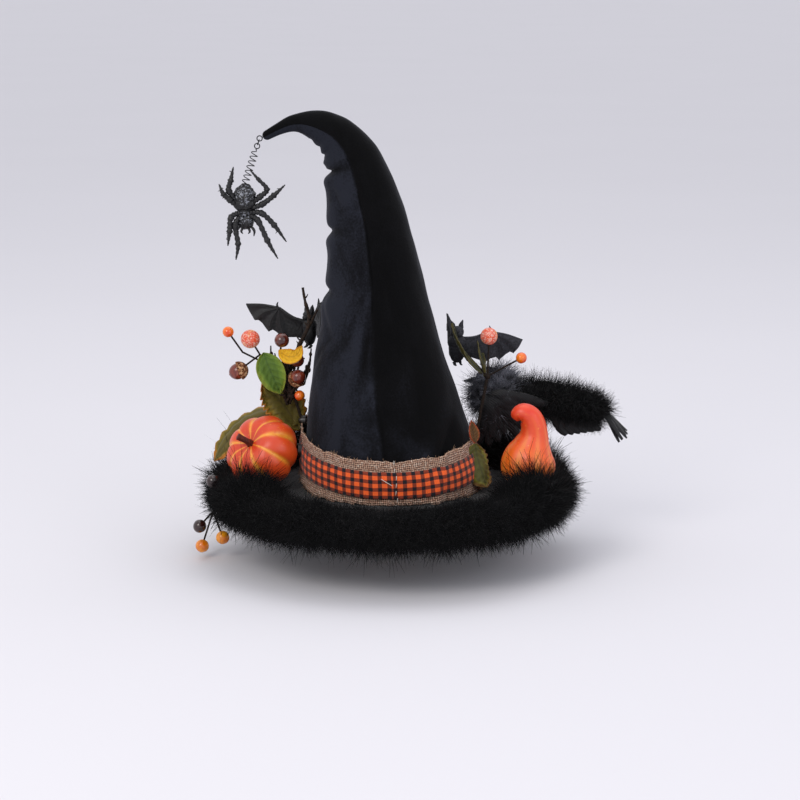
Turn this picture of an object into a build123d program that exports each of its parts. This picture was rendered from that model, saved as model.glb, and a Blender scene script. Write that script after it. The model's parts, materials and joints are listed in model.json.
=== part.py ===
"""A witch hat: a bent velvet cone on a feather-trimmed brim, with a ribbon band and autumn trims.

Millimetres. +Z runs up through the cone, the origin is the centre of the head opening at the brim's
underside, +X is to the right and -Y is the side where the ribbon's join shows.
"""

from build123d import *
import math
import os

# ---------------------------------------------------------------- driving dimensions
crown_height = 316.0  # highest point of the cone's centre line
crown_reach = 104.0  # how far the bent tip reaches sideways
crown_radius = 75.5  # velvet cone at the brim
velvet = 1.5  # pile fabric, with its backing
buckram = 1.2  # stiff lining of the lower cone
lining_height = 150.0  # where the lining ends and the stuffing starts
plug_thickness = 2.0  # card disc under the stuffing

opening_radius = 70.0  # inside of the sweatband
sweatband_thickness = 1.0
sweatband_height = 25.0

brim_radius = 136.0
brim_cloth = 1.2
brim_board = 2.0
edge_wire_radius = brim_board / 2
edge_hem = 4.0  # from the board's edge to the brim's edge

boa_cord_radius = 2.5
boa_radius = 20.0  # dense part of the feather trim

band_width = 31.0  # burlap ribbon
band_tilt = 20.0  # degrees, lowest at -Y
band_front_height = 6.5  # lowest edge of the band at -Y
burlap_thickness = 1.2
gingham_width = 19.0
gingham_thickness = 0.6
fabric_gap = 0.25  # between layers of cloth that only lie on each other

knuckle_clearance = 0.3  # round the stuffed ball where the tip bends
tip_bend_limit = 25.0  # degrees each way
armature_wire = 1.25  # radius of the iron wire that holds the bend

spring_wire = 0.35
spring_coil = 3.0
spring_turns = 7
spring_pitch = 4.2
ring_major = 2.2
ring_wire = 0.45
ring_clearance = 0.12

pumpkin_lobe = 21.0
pumpkin_lobes = 10
pumpkin_spread = 11.0
gourd_body = 22.5
stem_wire = 0.8
glue_thickness = 2.0

brim_top = brim_cloth + brim_board + brim_cloth

# The cone's outline: share of reach, share of height, share of base radius.
CROWN_STATIONS = [
    (0.000, brim_top / crown_height, 1.000),
    (0.018, 0.120, 0.970),
    (0.060, 0.250, 0.863),
    (0.098, 0.390, 0.728),
    (0.119, 0.527, 0.596),
    (0.160, 0.661, 0.504),
    (0.227, 0.797, 0.409),
    (0.270, 0.864, 0.355),
    (0.335, 0.920, 0.285),
]
TIP_STATIONS = [
    (0.462, 0.975, 0.229),
    (0.596, 0.998, 0.176),
    (0.721, 1.000, 0.130),
    (0.842, 0.994, 0.080),
    (1.000, 0.971, 0.056),
]


# ---------------------------------------------------------------- helpers
def vec(*point):
    return Vector(*point)


def along(start, end):
    """A location at start whose z axis points at end."""
    return Plane(origin=start, z_dir=(vec(*end) - vec(*start))).location


def rod(start, end, radius, end_radius=None):
    """A round bar, or a tapered one, from start to end."""
    length = (vec(*end) - vec(*start)).length
    far = radius if end_radius is None else end_radius
    at_start = (Align.CENTER, Align.CENTER, Align.MIN)
    if abs(far - radius) < 1e-6:
        return along(start, end) * Cylinder(radius, length, align=at_start)
    return along(start, end) * Cone(radius, far, length, align=at_start)


def limb(points, radii):
    """Bars from point to point with a ball at each inner corner, as one solid."""
    if not hasattr(radii, "__len__"):
        radii = [radii] * len(points)
    solid = rod(points[0], points[1], radii[0], radii[1])
    for i in range(1, len(points) - 1):
        solid += Pos(*points[i]) * Sphere(radii[i])
        solid += rod(points[i], points[i + 1], radii[i], radii[i + 1])
    return solid


def egg(centre, size, turn=(0, 0, 0)):
    """An ellipsoid of three half sizes, turned and moved to centre."""
    return Pos(*centre) * Rot(*turn) * scale(Sphere(1), by=size)


def ring(centre, axis, major, minor):
    return Plane(origin=centre, z_dir=axis).location * Torus(major, minor)


def short_of(start, end, gap):
    """The point that lies gap before end on the way from start."""
    way = vec(*end) - vec(*start)
    return tuple(vec(*end) - way.normalized() * gap)


def polar(radius, degrees, height):
    """A point round the hat: 0 degrees is +X and 90 is +Y."""
    a = math.radians(degrees)
    return (radius * math.cos(a), radius * math.sin(a), height)


# ---------------------------------------------------------------- the cone's outline
def stations():
    """Centre, radius and direction of each section of the cone, from the brim to the tip."""
    shares = CROWN_STATIONS + TIP_STATIONS
    centres = [vec(-crown_reach * s, 0, crown_height * h) for s, h, _ in shares]
    radii = [crown_radius * r for _, _, r in shares]
    ways = [vec(0, 0, 1)]
    for before, after in zip(centres, centres[2:]):
        ways.append((after - before).normalized())
    ways.append((centres[-1] - centres[-2]).normalized())
    return list(zip(centres, radii, ways))


SECTIONS = stations()
KNUCKLE = len(CROWN_STATIONS) - 1
knuckle_centre, knuckle_radius, knuckle_way = SECTIONS[KNUCKLE]
skin_setback = knuckle_radius * math.tan(math.radians(tip_bend_limit / 2)) + 1.0
next_radius = SECTIONS[KNUCKLE + 1][1]
next_distance = (SECTIONS[KNUCKLE + 1][0] - knuckle_centre).length
setback_radius = knuckle_radius + (next_radius - knuckle_radius) * skin_setback / next_distance
ball_radius = math.hypot(skin_setback, setback_radius - velvet) - 0.4


def section(index, extra):
    centre, radius, way = SECTIONS[index]
    return Plane(origin=centre, x_dir=(0, 1, 0), z_dir=way) * Circle(radius + extra)


def cone_solid(extra, first, last):
    """The cone's body between two sections, grown by extra."""
    return loft([section(i, extra) for i in range(first, last + 1)])


def crown_radius_at(height):
    """Outer radius of the velvet cone at a height, between its sections."""
    for (low, low_r, _), (high, high_r, _) in zip(SECTIONS, SECTIONS[1:]):
        if low.Z <= height <= high.Z:
            share = (height - low.Z) / (high.Z - low.Z)
            return low_r + share * (high_r - low_r)
    return crown_radius


def crown_centre_x(height):
    for (low, _, _), (high, _, _) in zip(SECTIONS, SECTIONS[1:]):
        if low.Z <= height <= high.Z:
            share = (height - low.Z) / (high.Z - low.Z)
            return low.X + share * (high.X - low.X)
    return 0.0


def on_crown(degrees, height, out):
    """A point outside the cone, out from its surface, at an angle and a height."""
    x, y, z = polar(crown_radius_at(height) + out, degrees, height)
    return (x + crown_centre_x(height), y, z)


def above(height, span=400):
    """A block that holds everything over a height."""
    return Pos(0, 0, height) * Box(2 * span, 2 * span, span, align=(Align.CENTER, Align.CENTER, Align.MIN))


# ---------------------------------------------------------------- crown
full = cone_solid(0, 0, KNUCKLE)
inside = cone_solid(-velvet, 0, KNUCKLE)
lining_inside = cone_solid(-velvet - buckram, 0, KNUCKLE)
knuckle_at = Pos(*knuckle_centre)
socket = knuckle_at * Sphere(ball_radius + knuckle_clearance)
knuckle_plane = Plane(origin=knuckle_centre, x_dir=(0, 1, 0), z_dir=knuckle_way)
cut_box = Box(200, 200, 200, align=(Align.CENTER, Align.CENTER, Align.MIN))
over_setback = knuckle_plane.offset(-skin_setback).location * cut_box


def crown_velvet():
    return full - inside - over_setback - socket


def crown_lining():
    return (inside - lining_inside) - above(lining_height)


def crown_plug():
    disc = inside & (above(lining_height) - above(lining_height + plug_thickness))
    return disc


def spine_wire_path():
    foot = (crown_centre_x(lining_height), 0, lining_height + plug_thickness + armature_wire + 0.02)
    middle = [SECTIONS[i][0] for i in range(5, KNUCKLE - 1)]
    top = knuckle_centre - knuckle_way * (ball_radius + knuckle_clearance + 0.3)
    return [foot] + [tuple(p) for p in middle] + [tuple(top)]


def spine_wire():
    """The armature wire: a flat foot loop on the card disc and a stem up the centre line."""
    path = spine_wire_path()
    foot_loop = Pos(*path[0]) * Torus(14, armature_wire)
    spoke = rod(path[0], (path[0][0] + 14, 0, path[0][2]), armature_wire)
    stem = limb([path[0]] + path[1:], armature_wire) - Pos(path[0][0], 0, lining_height) * Box(
        20, 20, 2 * (plug_thickness + 0.02)
    )
    return stem + spoke + foot_loop


def crown_stuffing():
    body = inside & above(lining_height + plug_thickness)
    return body - over_setback - socket - spine_wire()


# ---------------------------------------------------------------- bent tip
def tip_core(extra):
    """The tip beyond the bend, with its end rounded off."""
    end, end_radius, _ = SECTIONS[-1]
    body = cone_solid(extra, KNUCKLE, len(SECTIONS) - 1)
    return body + Pos(*end) * Sphere(0.96 * (end_radius + extra))


under_tip = knuckle_plane.offset(skin_setback).location * mirror(cut_box, about=Plane.XY)


def tip_velvet():
    return tip_core(0) - tip_core(-velvet) - under_tip - tip_wire()


def tip_stuffing():
    ball = knuckle_at * Sphere(ball_radius)
    return ball + (tip_core(-velvet) - under_tip) - tip_velvet() - tip_wire()


tip_end, tip_end_radius, tip_way = SECTIONS[-1]
hang = vec(-0.32, 0, -0.947).normalized()  # way the stiff little spring stands off from the tip
hang_across = vec(hang.Z, 0, -hang.X)
eye_centre = tip_end + tip_way * (tip_end_radius + ring_major + 0.6)
link_step = 2 * (ring_major - ring_wire) - ring_clearance
jump_centre = eye_centre + hang * link_step
loop_centre = jump_centre + hang * link_step


def tip_wire():
    """The armature wire in the tip, ending in the eye that the spider hangs from."""
    start = tuple(knuckle_centre)
    middle = [tuple(SECTIONS[i][0]) for i in range(KNUCKLE + 1, len(SECTIONS) - 1)]
    end = tuple(eye_centre - tip_way * (ring_major - 0.1))
    radii = [armature_wire] * (len(middle)) + [0.8, ring_wire]
    return limb([start] + middle + [end], radii) + ring(eye_centre, (0, 1, 0), ring_major, ring_wire)


# ---------------------------------------------------------------- brim
def disc_ring(outer, inner, low, high):
    at_low = (Align.CENTER, Align.CENTER, Align.MIN)
    body = Cylinder(outer, high - low, align=at_low) - Cylinder(inner, high - low, align=at_low)
    return Pos(0, 0, low) * body


brim_inner = opening_radius + sweatband_thickness


def brim_under_cloth():
    return disc_ring(brim_radius, brim_inner, 0, brim_cloth)


def brim_card():
    return disc_ring(brim_radius - edge_hem, brim_inner, brim_cloth, brim_cloth + brim_board)


def brim_over_cloth():
    return disc_ring(brim_radius, brim_inner, brim_cloth + brim_board, brim_top)


def brim_edge_wire():
    return Pos(0, 0, brim_top / 2) * Torus(brim_radius - edge_wire_radius - 1, edge_wire_radius)


def sweatband():
    return disc_ring(opening_radius + sweatband_thickness, opening_radius, 0, sweatband_height)


def boa_cord():
    return Pos(0, 0, brim_top / 2) * Torus(brim_radius + boa_cord_radius, boa_cord_radius)


def feather_boa(dents):
    """The dense part of the feather trim round the brim's edge, pushed in where trims lie on it."""
    tube = Pos(0, 0, brim_top / 2) * Torus(brim_radius + boa_cord_radius, boa_radius)
    tube -= disc_ring(brim_radius + boa_cord_radius, brim_inner, 0, brim_top)
    tube -= boa_cord()
    for dent in dents:
        tube -= dent
    return tube


# ---------------------------------------------------------------- band
def band_plane():
    """The tilted plane of the band's lower edge."""
    a = math.radians(band_tilt)
    front = vec(0, -crown_radius, band_front_height)
    return Plane(origin=front, x_dir=(1, 0, 0), z_dir=(0, -math.sin(a), math.cos(a)))


def sleeve(inner_gap, thickness, low, high):
    """A ribbon round the cone, between two heights over the band's lower edge."""
    outer = cone_solid(inner_gap + thickness, 0, KNUCKLE) - cone_solid(inner_gap, 0, KNUCKLE)
    slab = Box(400, 600, high - low, align=(Align.CENTER, Align.CENTER, Align.MIN))
    return outer & (band_plane().offset(low).location * slab)


def burlap_band():
    return sleeve(fabric_gap, burlap_thickness, 0, band_width)


gingham_inner = 2 * fabric_gap + burlap_thickness
gingham_low = (band_width - gingham_width) / 2 - 1.0
band_face = gingham_inner + gingham_thickness  # from the cone to the outside of the band


def gingham_ribbon():
    return sleeve(gingham_inner, gingham_thickness, gingham_low, gingham_low + gingham_width)


def band_point(degrees, up, out):
    """A point on the band, up from its lower edge and out from the cone."""
    a = math.radians(band_tilt)
    x, y, _ = polar(crown_radius, degrees, 0)
    height = band_front_height + (y + crown_radius) * math.tan(a) + up
    return on_crown(degrees, height, out)


def band_stitches():
    """The white thread that closes the ribbon's join: a column of short stitches."""
    out = band_face + 2.3
    count = 5
    made = []
    for i in range(count):
        low = gingham_low + 2.0 + i * (gingham_width - 4) / count
        made.append(rod(band_point(-87, low, out), band_point(-87, low + 2.2, out), 0.4))
    return made


# ---------------------------------------------------------------- mini pumpkin and gourd
pumpkin_centre = polar(crown_radius + band_face + pumpkin_spread + pumpkin_lobe + glue_thickness, 190, 38)
pumpkin_axis = vec(-0.31, -0.82, 0.47).normalized()
gourd_centre = polar(crown_radius + band_face + gourd_body + 18, -10, brim_top + gourd_body + glue_thickness)


def pumpkin_stem():
    sideways = vec(0, 0, 1) * 0.25
    foot = vec(*pumpkin_centre) + pumpkin_axis * pumpkin_lobe * 0.55
    knee = foot + pumpkin_axis * pumpkin_lobe * 0.5
    top = knee + (pumpkin_axis + sideways) * pumpkin_lobe * 0.5
    return limb([tuple(foot), tuple(knee), tuple(top)], [4.6, 3.2, 2.6])


def mini_pumpkin():
    lobes = Sphere(pumpkin_lobe * 0.85)
    for i in range(pumpkin_lobes):
        lobes += Rot(0, 0, 360 * i / pumpkin_lobes) * Pos(pumpkin_spread, 0, 0) * Sphere(pumpkin_lobe)
    return Plane(origin=pumpkin_centre, z_dir=pumpkin_axis).location * lobes - pumpkin_stem()


def gourd():
    x, y, z = gourd_centre
    knots = [(x - 1, y, z), (x + 2, y, z + 18), (x + 1, y, z + 33), (x - 5, y, z + 41)]
    sizes = [gourd_body * 0.97, gourd_body * 0.62, gourd_body * 0.5, gourd_body * 0.36]
    return limb(knots, sizes) + Pos(*gourd_centre) * Sphere(gourd_body) + Pos(*knots[-1]) * Sphere(sizes[-1])


# ---------------------------------------------------------------- leaves
LEAF_HALF = [(0.0, 0.05), (0.14, 0.30), (0.38, 0.50), (0.68, 0.36), (0.88, 0.14), (1.0, 0.0)]
leaf_thickness = 0.7


def leaf(base, tip, width, face):
    """A flat pointed leaf from base to tip, whose flat side looks toward face."""
    way = vec(*tip) - vec(*base)
    normal = vec(*face) - way * (vec(*face).dot(way) / way.dot(way))
    upper = [(way.length * s, width * h) for s, h in LEAF_HALF]
    lower = [(x, -y) for x, y in reversed(upper[:-1])]
    blade = extrude(Polygon(*upper, *lower, align=None), leaf_thickness)
    return Plane(origin=base, x_dir=way, z_dir=normal).location * blade


LEFT_HUB = on_crown(172, 100, 22)
RIGHT_HUB = on_crown(8, 98, 31.5)
LEFT_FOOT = on_crown(174, 60, band_face + glue_thickness)
RIGHT_FOOT = on_crown(7, 46, band_face + glue_thickness + 1.0)


def from_left(x, y, z):
    """A point near the left hub, given where the hub sits at the nominal size."""
    return (LEFT_HUB[0] + x + 89, LEFT_HUB[1] + y - 12, LEFT_HUB[2] + z - 100)


def from_right(x, y, z):
    return (RIGHT_HUB[0] + x - 84, RIGHT_HUB[1] + y - 12, RIGHT_HUB[2] + z - 98)


def gold_leaves():
    """The two wide leaves behind the pumpkin, glued to the band by their bases."""
    base = on_crown(169, 52, band_face + glue_thickness)
    tall = leaf(base, tuple(vec(*base) + vec(-31, 4, 38)), 34, (0.35, -0.9, 0.3))
    low_base = tuple(vec(*base) + vec(-1.5, 1.5, 2))
    low = leaf(low_base, tuple(vec(*base) + vec(-74, 6, -20)), 34, (-0.2, -0.75, 0.6))
    return [tall - low, low]


def pinched_leaf():
    """The leaf at the right end of the ribbon, tied at its neck."""
    base = on_crown(-16, 56, band_face + glue_thickness)
    neck = tuple(vec(*base) + vec(2.5, -3, -9))
    tip = tuple(vec(*base) + vec(13, -17, -45))
    upper = leaf(neck, base, 9, (0.5, -0.85, 0))
    lower = leaf(neck, tip, 22, (0.5, -0.85, 0.1))
    return upper + lower + Pos(*neck) * Sphere(1.6)


# ---------------------------------------------------------------- sprays
# berry: centre, radius; the stem to it comes from the named corner.
LEFT_JOINTS = {
    "outer": from_left(-112, 7, 118),
    "far": from_left(-127, 8, 120),
    "upper": from_left(-95, 9, 118),
    "inner": from_left(-84, 10, 106),
}
LEFT_ORANGE = [("far", from_left(-139, 6, 138), 4.9), ("hub", from_left(-78, 3, 83), 4.5)]
LEFT_SUGARED = [("outer", from_left(-120, 5, 132), 8.2)]
LEFT_DARK = [("upper", from_left(-93, 4, 131), 6.4), ("inner", from_left(-80, 3, 114), 6.2)]
LEFT_ACORNS = [
    ("outer", from_left(-131, 4, 104), 7.0, (-1, 0, -0.42)),
    ("inner", from_left(-79.5, 1, 99), 6.6, (0.55, -0.4, 0.55)),
]
RIGHT_ORANGE = [("hub", from_right(113, 12, 114), 4.9)]
RIGHT_SUGARED = [("hub", from_right(85, 12, 133), 7.4)]


def left_corner(name):
    return LEFT_JOINTS.get(name, LEFT_HUB)


def balls(items):
    return [Pos(*centre) * Sphere(radius) for _, centre, radius in items]


def acorn_nut(centre, radius, way):
    """A nut whose point looks along way."""
    nut = scale(Sphere(radius), by=(1, 1, 1.12)) + Pos(0, 0, radius * 1.05) * Cone(1.2, 0.5, 1.6)
    return Plane(origin=centre, z_dir=way).location * nut


def acorn_cup(centre, radius, way):
    """The rough cup over the nut's blunt end."""
    block = Box(60, 60, 60, align=(Align.CENTER, Align.CENTER, Align.MAX))
    cup = scale(Sphere(radius + 1.4), by=(1, 1, 1.1)) & (Pos(0, 0, -radius * 0.18) * block)
    cup -= scale(Sphere(radius), by=(1, 1, 1.12))
    return Plane(origin=centre, z_dir=way).location * cup


def left_spray():
    """The wrapped wire stems of the left spray, each cut off where its berry starts."""
    stems = limb([LEFT_FOOT, LEFT_HUB], stem_wire + 0.5)
    stems += Pos(*LEFT_HUB) * Sphere(3.2)
    for corner in LEFT_JOINTS.values():
        stems += rod(LEFT_HUB, corner, stem_wire) + Pos(*corner) * Sphere(stem_wire)
    for name, centre, _ in LEFT_ORANGE + LEFT_SUGARED + LEFT_DARK:
        stems += rod(left_corner(name), centre, stem_wire)
    for name, centre, _, _ in LEFT_ACORNS:
        stems += rod(left_corner(name), centre, stem_wire)
    for ball in balls(LEFT_ORANGE + LEFT_SUGARED + LEFT_DARK):
        stems -= ball
    for _, centre, radius, way in LEFT_ACORNS:
        stems -= acorn_nut(centre, radius, way) + acorn_cup(centre, radius, way)
    return stems


def green_leaf():
    base = LEFT_JOINTS["outer"]
    start = tuple(vec(*base) + vec(1.2, -1.4, 0))
    return leaf(start, tuple(vec(*start) + vec(15, -3, -34)), 23, (0.15, -1, 0.1)) - left_spray()


def yellow_leaf():
    base = LEFT_JOINTS["upper"]
    start = tuple(vec(*base) + vec(2.2, -1.5, 2))
    return leaf(start, tuple(vec(*start) + vec(15, -2, 5)), 13, (0, -1, 0.3)) - left_spray()


def right_spray():
    stems = limb([RIGHT_FOOT, RIGHT_HUB], stem_wire + 0.5) + Pos(*RIGHT_HUB) * Sphere(2.8)
    for _, centre, _ in RIGHT_ORANGE + RIGHT_SUGARED:
        stems += rod(RIGHT_HUB, centre, stem_wire)
    for ball in balls(RIGHT_ORANGE + RIGHT_SUGARED):
        stems -= ball
    return stems


def right_leaves():
    """Two leaves that stand between the right spray and the cone."""
    first = leaf(tuple(vec(*RIGHT_HUB) + vec(-3.4, 1, 1)), from_right(56, 26, 142), 22, (0.4, -0.8, 0.3))
    second = leaf(tuple(vec(*RIGHT_HUB) + vec(-1, 3.6, -2)), from_right(76, 40, 128), 16, (0.8, -0.5, 0.2))
    return [first - right_spray(), second - right_spray() - first]


def twig():
    """The bare forked twig that stands up beside the cone."""
    start = tuple(vec(*LEFT_HUB) + vec(1.5, 0.5, 3.0))
    fork = from_left(-71, 7, 141)
    top = from_left(-75, 8, 175)
    side = from_left(-63, 8, 156)
    body = limb([start, fork, top], [1.6, 1.4, 0.8]) + rod(fork, side, 1.1, 0.7)
    return body - left_spray()


# ---------------------------------------------------------------- hanging berries
boa_ring = brim_radius + boa_cord_radius
LEFT_DROP = polar(boa_ring, 187, brim_top / 2 - boa_cord_radius - stem_wire * 0.4)
RIGHT_DROP = polar(boa_ring, -4, brim_top / 2 - boa_cord_radius - stem_wire * 0.4)


def drop(start, x, y, z):
    return (start[0] + x, start[1] + y, start[2] + z)


LEFT_FORK = drop(LEFT_DROP, -16, 4, -15)
RIGHT_FORK = drop(RIGHT_DROP, -12, 2, -14)
HANGING_DARK = [drop(LEFT_FORK, -12, 2, -14), drop(LEFT_DROP, -14, -16, 16)]
HANGING_AMBER = [drop(LEFT_FORK, -10, 0, -31), drop(LEFT_FORK, 8, -2, -23)]
HANGING_ORANGE = [drop(RIGHT_FORK, -6, -2, -11), drop(RIGHT_FORK, 4, 4, -7)]
hanging_radius = 5.9


def hanging_balls(points, radius=hanging_radius):
    return [Pos(*p) * Sphere(radius) for p in points]


def hanging_stems():
    left = rod(LEFT_DROP, LEFT_FORK, stem_wire) + Pos(*LEFT_FORK) * Sphere(stem_wire)
    for point in [HANGING_DARK[0]] + HANGING_AMBER:
        left += rod(LEFT_FORK, point, stem_wire)
    left += rod(LEFT_DROP, HANGING_DARK[1], stem_wire)
    right = rod(RIGHT_DROP, RIGHT_FORK, stem_wire) + Pos(*RIGHT_FORK) * Sphere(stem_wire)
    for point in HANGING_ORANGE:
        right += rod(RIGHT_FORK, point, stem_wire)
    for ball in hanging_balls(HANGING_DARK + HANGING_AMBER) + hanging_balls(HANGING_ORANGE, 5):
        left -= ball
        right -= ball
    return [left - boa_cord(), right - boa_cord()]


# ---------------------------------------------------------------- bats
WING = [(0, 5), (16, 10), (24, 17), (29, 14), (54, 17), (47, 3), (43, 5), (34, -6), (28, -3), (19, -14), (13, -9), (0, -12)]
bat_skin = 1.2


def bat_wing(shoulder, heading, size, lift):
    """A scalloped wing that stands upright and leaves the shoulder on a heading in degrees."""
    a = math.radians(heading)
    frame = Plane(origin=shoulder, x_dir=(math.cos(a), math.sin(a), 0), z_dir=(math.sin(a), -math.cos(a), 0))
    outline = [(x * size, y * size + x * size * lift) for x, y in WING]
    return frame.location * Pos(0, 0, -bat_skin / 2) * extrude(Polygon(*outline, align=None), bat_skin)


def bat(centre, heading, size, thickness, lift):
    """Body, head, ears and two wings; the first wing leaves on the heading."""
    x, y, z = centre
    body = egg(centre, (thickness, thickness, 13 * size))
    body += Pos(x, y, z + 15 * size) * Sphere(6.5 * size)
    for side in (-1, 1):
        a = math.radians(heading)
        foot = (x + side * 3.4 * size * math.cos(a), y + side * 3.4 * size * math.sin(a), z + 18 * size)
        body += rod(foot, (foot[0], foot[1], foot[2] + 8 * size), 2.2 * size, 0.5)
        low = (x + side * 3 * size * math.cos(a), y + side * 3 * size * math.sin(a), z - 8 * size)
        body += rod(low, (low[0], low[1], low[2] - 9 * size), 1.3, 1.0)
    wings = [bat_wing(centre, heading, size, lift[0]), bat_wing(centre, heading + 180 + lift[2], size, lift[1])]
    return body, [wing - body for wing in wings]


LEFT_BAT = from_left(-70, 25, 139)
RIGHT_BAT = from_right(58, 36, 122)


def left_bat():
    return bat(LEFT_BAT, 183, 0.92, 6.5, (0.05, 0.0, 72))


def right_bat():
    return bat(RIGHT_BAT, 2, 0.95, 7.5, (-0.25, 0.0, -77))


def bat_wires():
    """A wire from each hub up into each bat's body."""
    left = rod(tuple(vec(*LEFT_HUB) + vec(0, 2.6, 0)), LEFT_BAT, 0.9)
    right = rod(tuple(vec(*RIGHT_HUB) + vec(-1.5, 2, 1)), RIGHT_BAT, 0.9)
    left = left - left_spray() - left_bat()[0] - twig()
    right = right - right_spray() - right_bat()[0]
    for blade in right_leaves():
        right -= blade
    return [left, right]


# ---------------------------------------------------------------- crow
crow_reach = brim_radius - 136  # the bird moves out with the brim
CROW_CHEST = (98 + crow_reach, 44, 66)
CROW_RUMP = (152 + crow_reach, 36, 68)
CROW_HEAD = (86 + crow_reach, 60, 86)


def crow_body():
    trunk = limb([CROW_CHEST, (124 + crow_reach, 40, 70), CROW_RUMP], [17, 16, 12])
    trunk += Pos(*CROW_CHEST) * Sphere(17) + Pos(*CROW_RUMP) * Sphere(12)
    neck = rod(CROW_CHEST, CROW_HEAD, 12, 9)
    return trunk + neck + Pos(*CROW_HEAD) * Sphere(11.5)


def crow_beak():
    start = tuple(vec(*CROW_HEAD) + vec(-6, 6, -1))
    return rod(start, tuple(vec(*CROW_HEAD) + vec(-21, 20, -5)), 4.2, 0.6) - crow_body()


def crow_eyes():
    made = []
    for side in ((-7.2, -5.6, 7), (8.4, 4.4, 6)):
        made.append(Pos(*tuple(vec(*CROW_HEAD) + vec(*side))) * Sphere(1.9) - crow_body())
    return made


def crow_wings():
    """The folded wing on each side, a flat oval held against the body."""
    chest_x, chest_y, chest_z = CROW_CHEST
    plane = Plane(origin=(0, 0, 0), x_dir=(1, 0, 0), z_dir=(0, -1, 0))
    near = plane.location * extrude(Ellipse(27, 23), 1.8)
    far = plane.location * extrude(Ellipse(26, 13), 1.8)
    near_wing = Pos(chest_x + 4, chest_y - 20.3, chest_z) * Rot(0, 18, 0) * near
    far_wing = Pos(chest_x + 32, chest_y + 18.5, chest_z) * Rot(0, 8, 0) * far
    return [near_wing, far_wing]


def crow_tail():
    quills = []
    for i, (dy, dz) in enumerate([(-4, -16), (2, -18), (8, -14)]):
        base = tuple(vec(*CROW_RUMP) + vec(7, dy / 2, -2 + i))
        tip = tuple(vec(*CROW_RUMP) + vec(44, dy, dz))
        quills.append(leaf(base, tip, 9, (0.4, 0.25 * (i - 1), 1)) - crow_body())
    return quills[0] + (quills[1] - quills[0]) + quills[2]


def crow_legs():
    legs = []
    for x in (112, 126):
        foot = (x + crow_reach, 40, brim_top)
        leg = rod(foot, (x + crow_reach, 40, 62), 1.3)
        leg += Pos(x + crow_reach, 40, brim_top + 1) * Cylinder(4, 2)
        legs.append(leg - crow_body())
    return legs


# ---------------------------------------------------------------- glue
def glue_dabs():
    """Hot glue between each trim and what it is stuck to, cut to fit both."""
    toward_cone = vec(-pumpkin_centre[0], -pumpkin_centre[1], 0).normalized()
    pumpkin_back = vec(*pumpkin_centre) + toward_cone * (pumpkin_spread + pumpkin_lobe * 0.8)
    gourd_foot = (gourd_centre[0], gourd_centre[1], brim_top)
    leaf_base = vec(*on_crown(169, 52, band_face))
    pinched_base = vec(*on_crown(-16, 56, band_face))
    left_foot = rod(on_crown(174, 60, band_face - 1.5), LEFT_FOOT, 4.5) + Pos(*LEFT_FOOT) * Sphere(3.4)
    right_foot = rod(on_crown(7, 46, band_face - 1.5), RIGHT_FOOT, 4) + Pos(*RIGHT_FOOT) * Sphere(3)
    leaf_foot = rod(tuple(leaf_base + vec(1, 0, 0)), tuple(leaf_base + vec(-3.5, 0.7, 0)), 4)
    pinched_foot = rod(tuple(pinched_base + vec(-1.5, 0.4, 0)), tuple(pinched_base + vec(2.5, -0.8, 0)), 3)
    return [
        rod(tuple(pumpkin_back), tuple(pumpkin_back + toward_cone * 7), 6) - band_outside - pumpkin,
        rod(gourd_foot, (gourd_foot[0], gourd_foot[1], gourd_foot[2] + glue_thickness + 2), 8) - squash,
        leaf_foot - band_outside - leaves_gold[0] - leaves_gold[1],
        pinched_foot - band_outside - leaf_pinched,
        left_foot - band_outside - limb([LEFT_FOOT, LEFT_HUB], stem_wire + 0.5),
        right_foot - band_outside - limb([RIGHT_FOOT, RIGHT_HUB], stem_wire + 0.5),
    ]


# ---------------------------------------------------------------- spring and spider
def jump_ring():
    return ring(tuple(jump_centre), tuple(hang_across), ring_major, ring_wire)


def place_on_hang(start, solid):
    return Plane(origin=start, x_dir=(0, 1, 0), z_dir=hang).location * solid


spring_length = spring_turns * spring_pitch
spring_start = loop_centre + hang * (ring_major + ring_wire + spring_wire + 1.1)
spring_end = spring_start + hang * spring_length
spider_top = spring_end + hang * (spring_wire + 0.35)


def spring_loop():
    """The closed loop at the spring's top and its collar, which the coil starts from."""
    loop = ring(tuple(loop_centre), (0, 1, 0), ring_major, ring_wire)
    hook = spring_start - hang * (2 * spring_wire + 0.05)
    neck = limb([tuple(loop_centre + hang * ring_major), tuple(hook), tuple(hook + vec(0, spring_coil, 0))], 0.35)
    return loop + neck


def coil():
    path = Helix(spring_pitch, spring_length, spring_coil)
    profile = Plane(origin=path @ 0, z_dir=path % 0) * Circle(spring_wire)
    return place_on_hang(tuple(spring_start), sweep(profile, path=path, is_frenet=True))


SPIDER_BODY = (10.0, 6.5, 12.5)
spider_centre = spider_top + hang * 0.2 + vec(0, 0, -SPIDER_BODY[2])
spider_head = spider_centre + vec(0.5, 0, -15.5)
# each leg: root on the head, knee, tip; x, z from the head's centre and y outwards
SPIDER_LEGS = [
    [(-6, 5), (-11, 12, -9), (-13.5, 41)],
    [(-6.5, 3), (-17, 9, -9), (-26, 28)],
    [(6.5, 3), (15, 7, -9), (31, 27)],
    [(6, 5), (16.5, 13, -9), (10, 24)],
    [(-6, -2), (-14, -6, -9), (-19, -26)],
    [(-5, -4), (-10, -14, -9), (-12.5, -37.5)],
    [(6, -2), (16, -8, -9), (31, -23)],
    [(5, -4), (14, -14, -9), (22.5, -37)],
]


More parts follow.
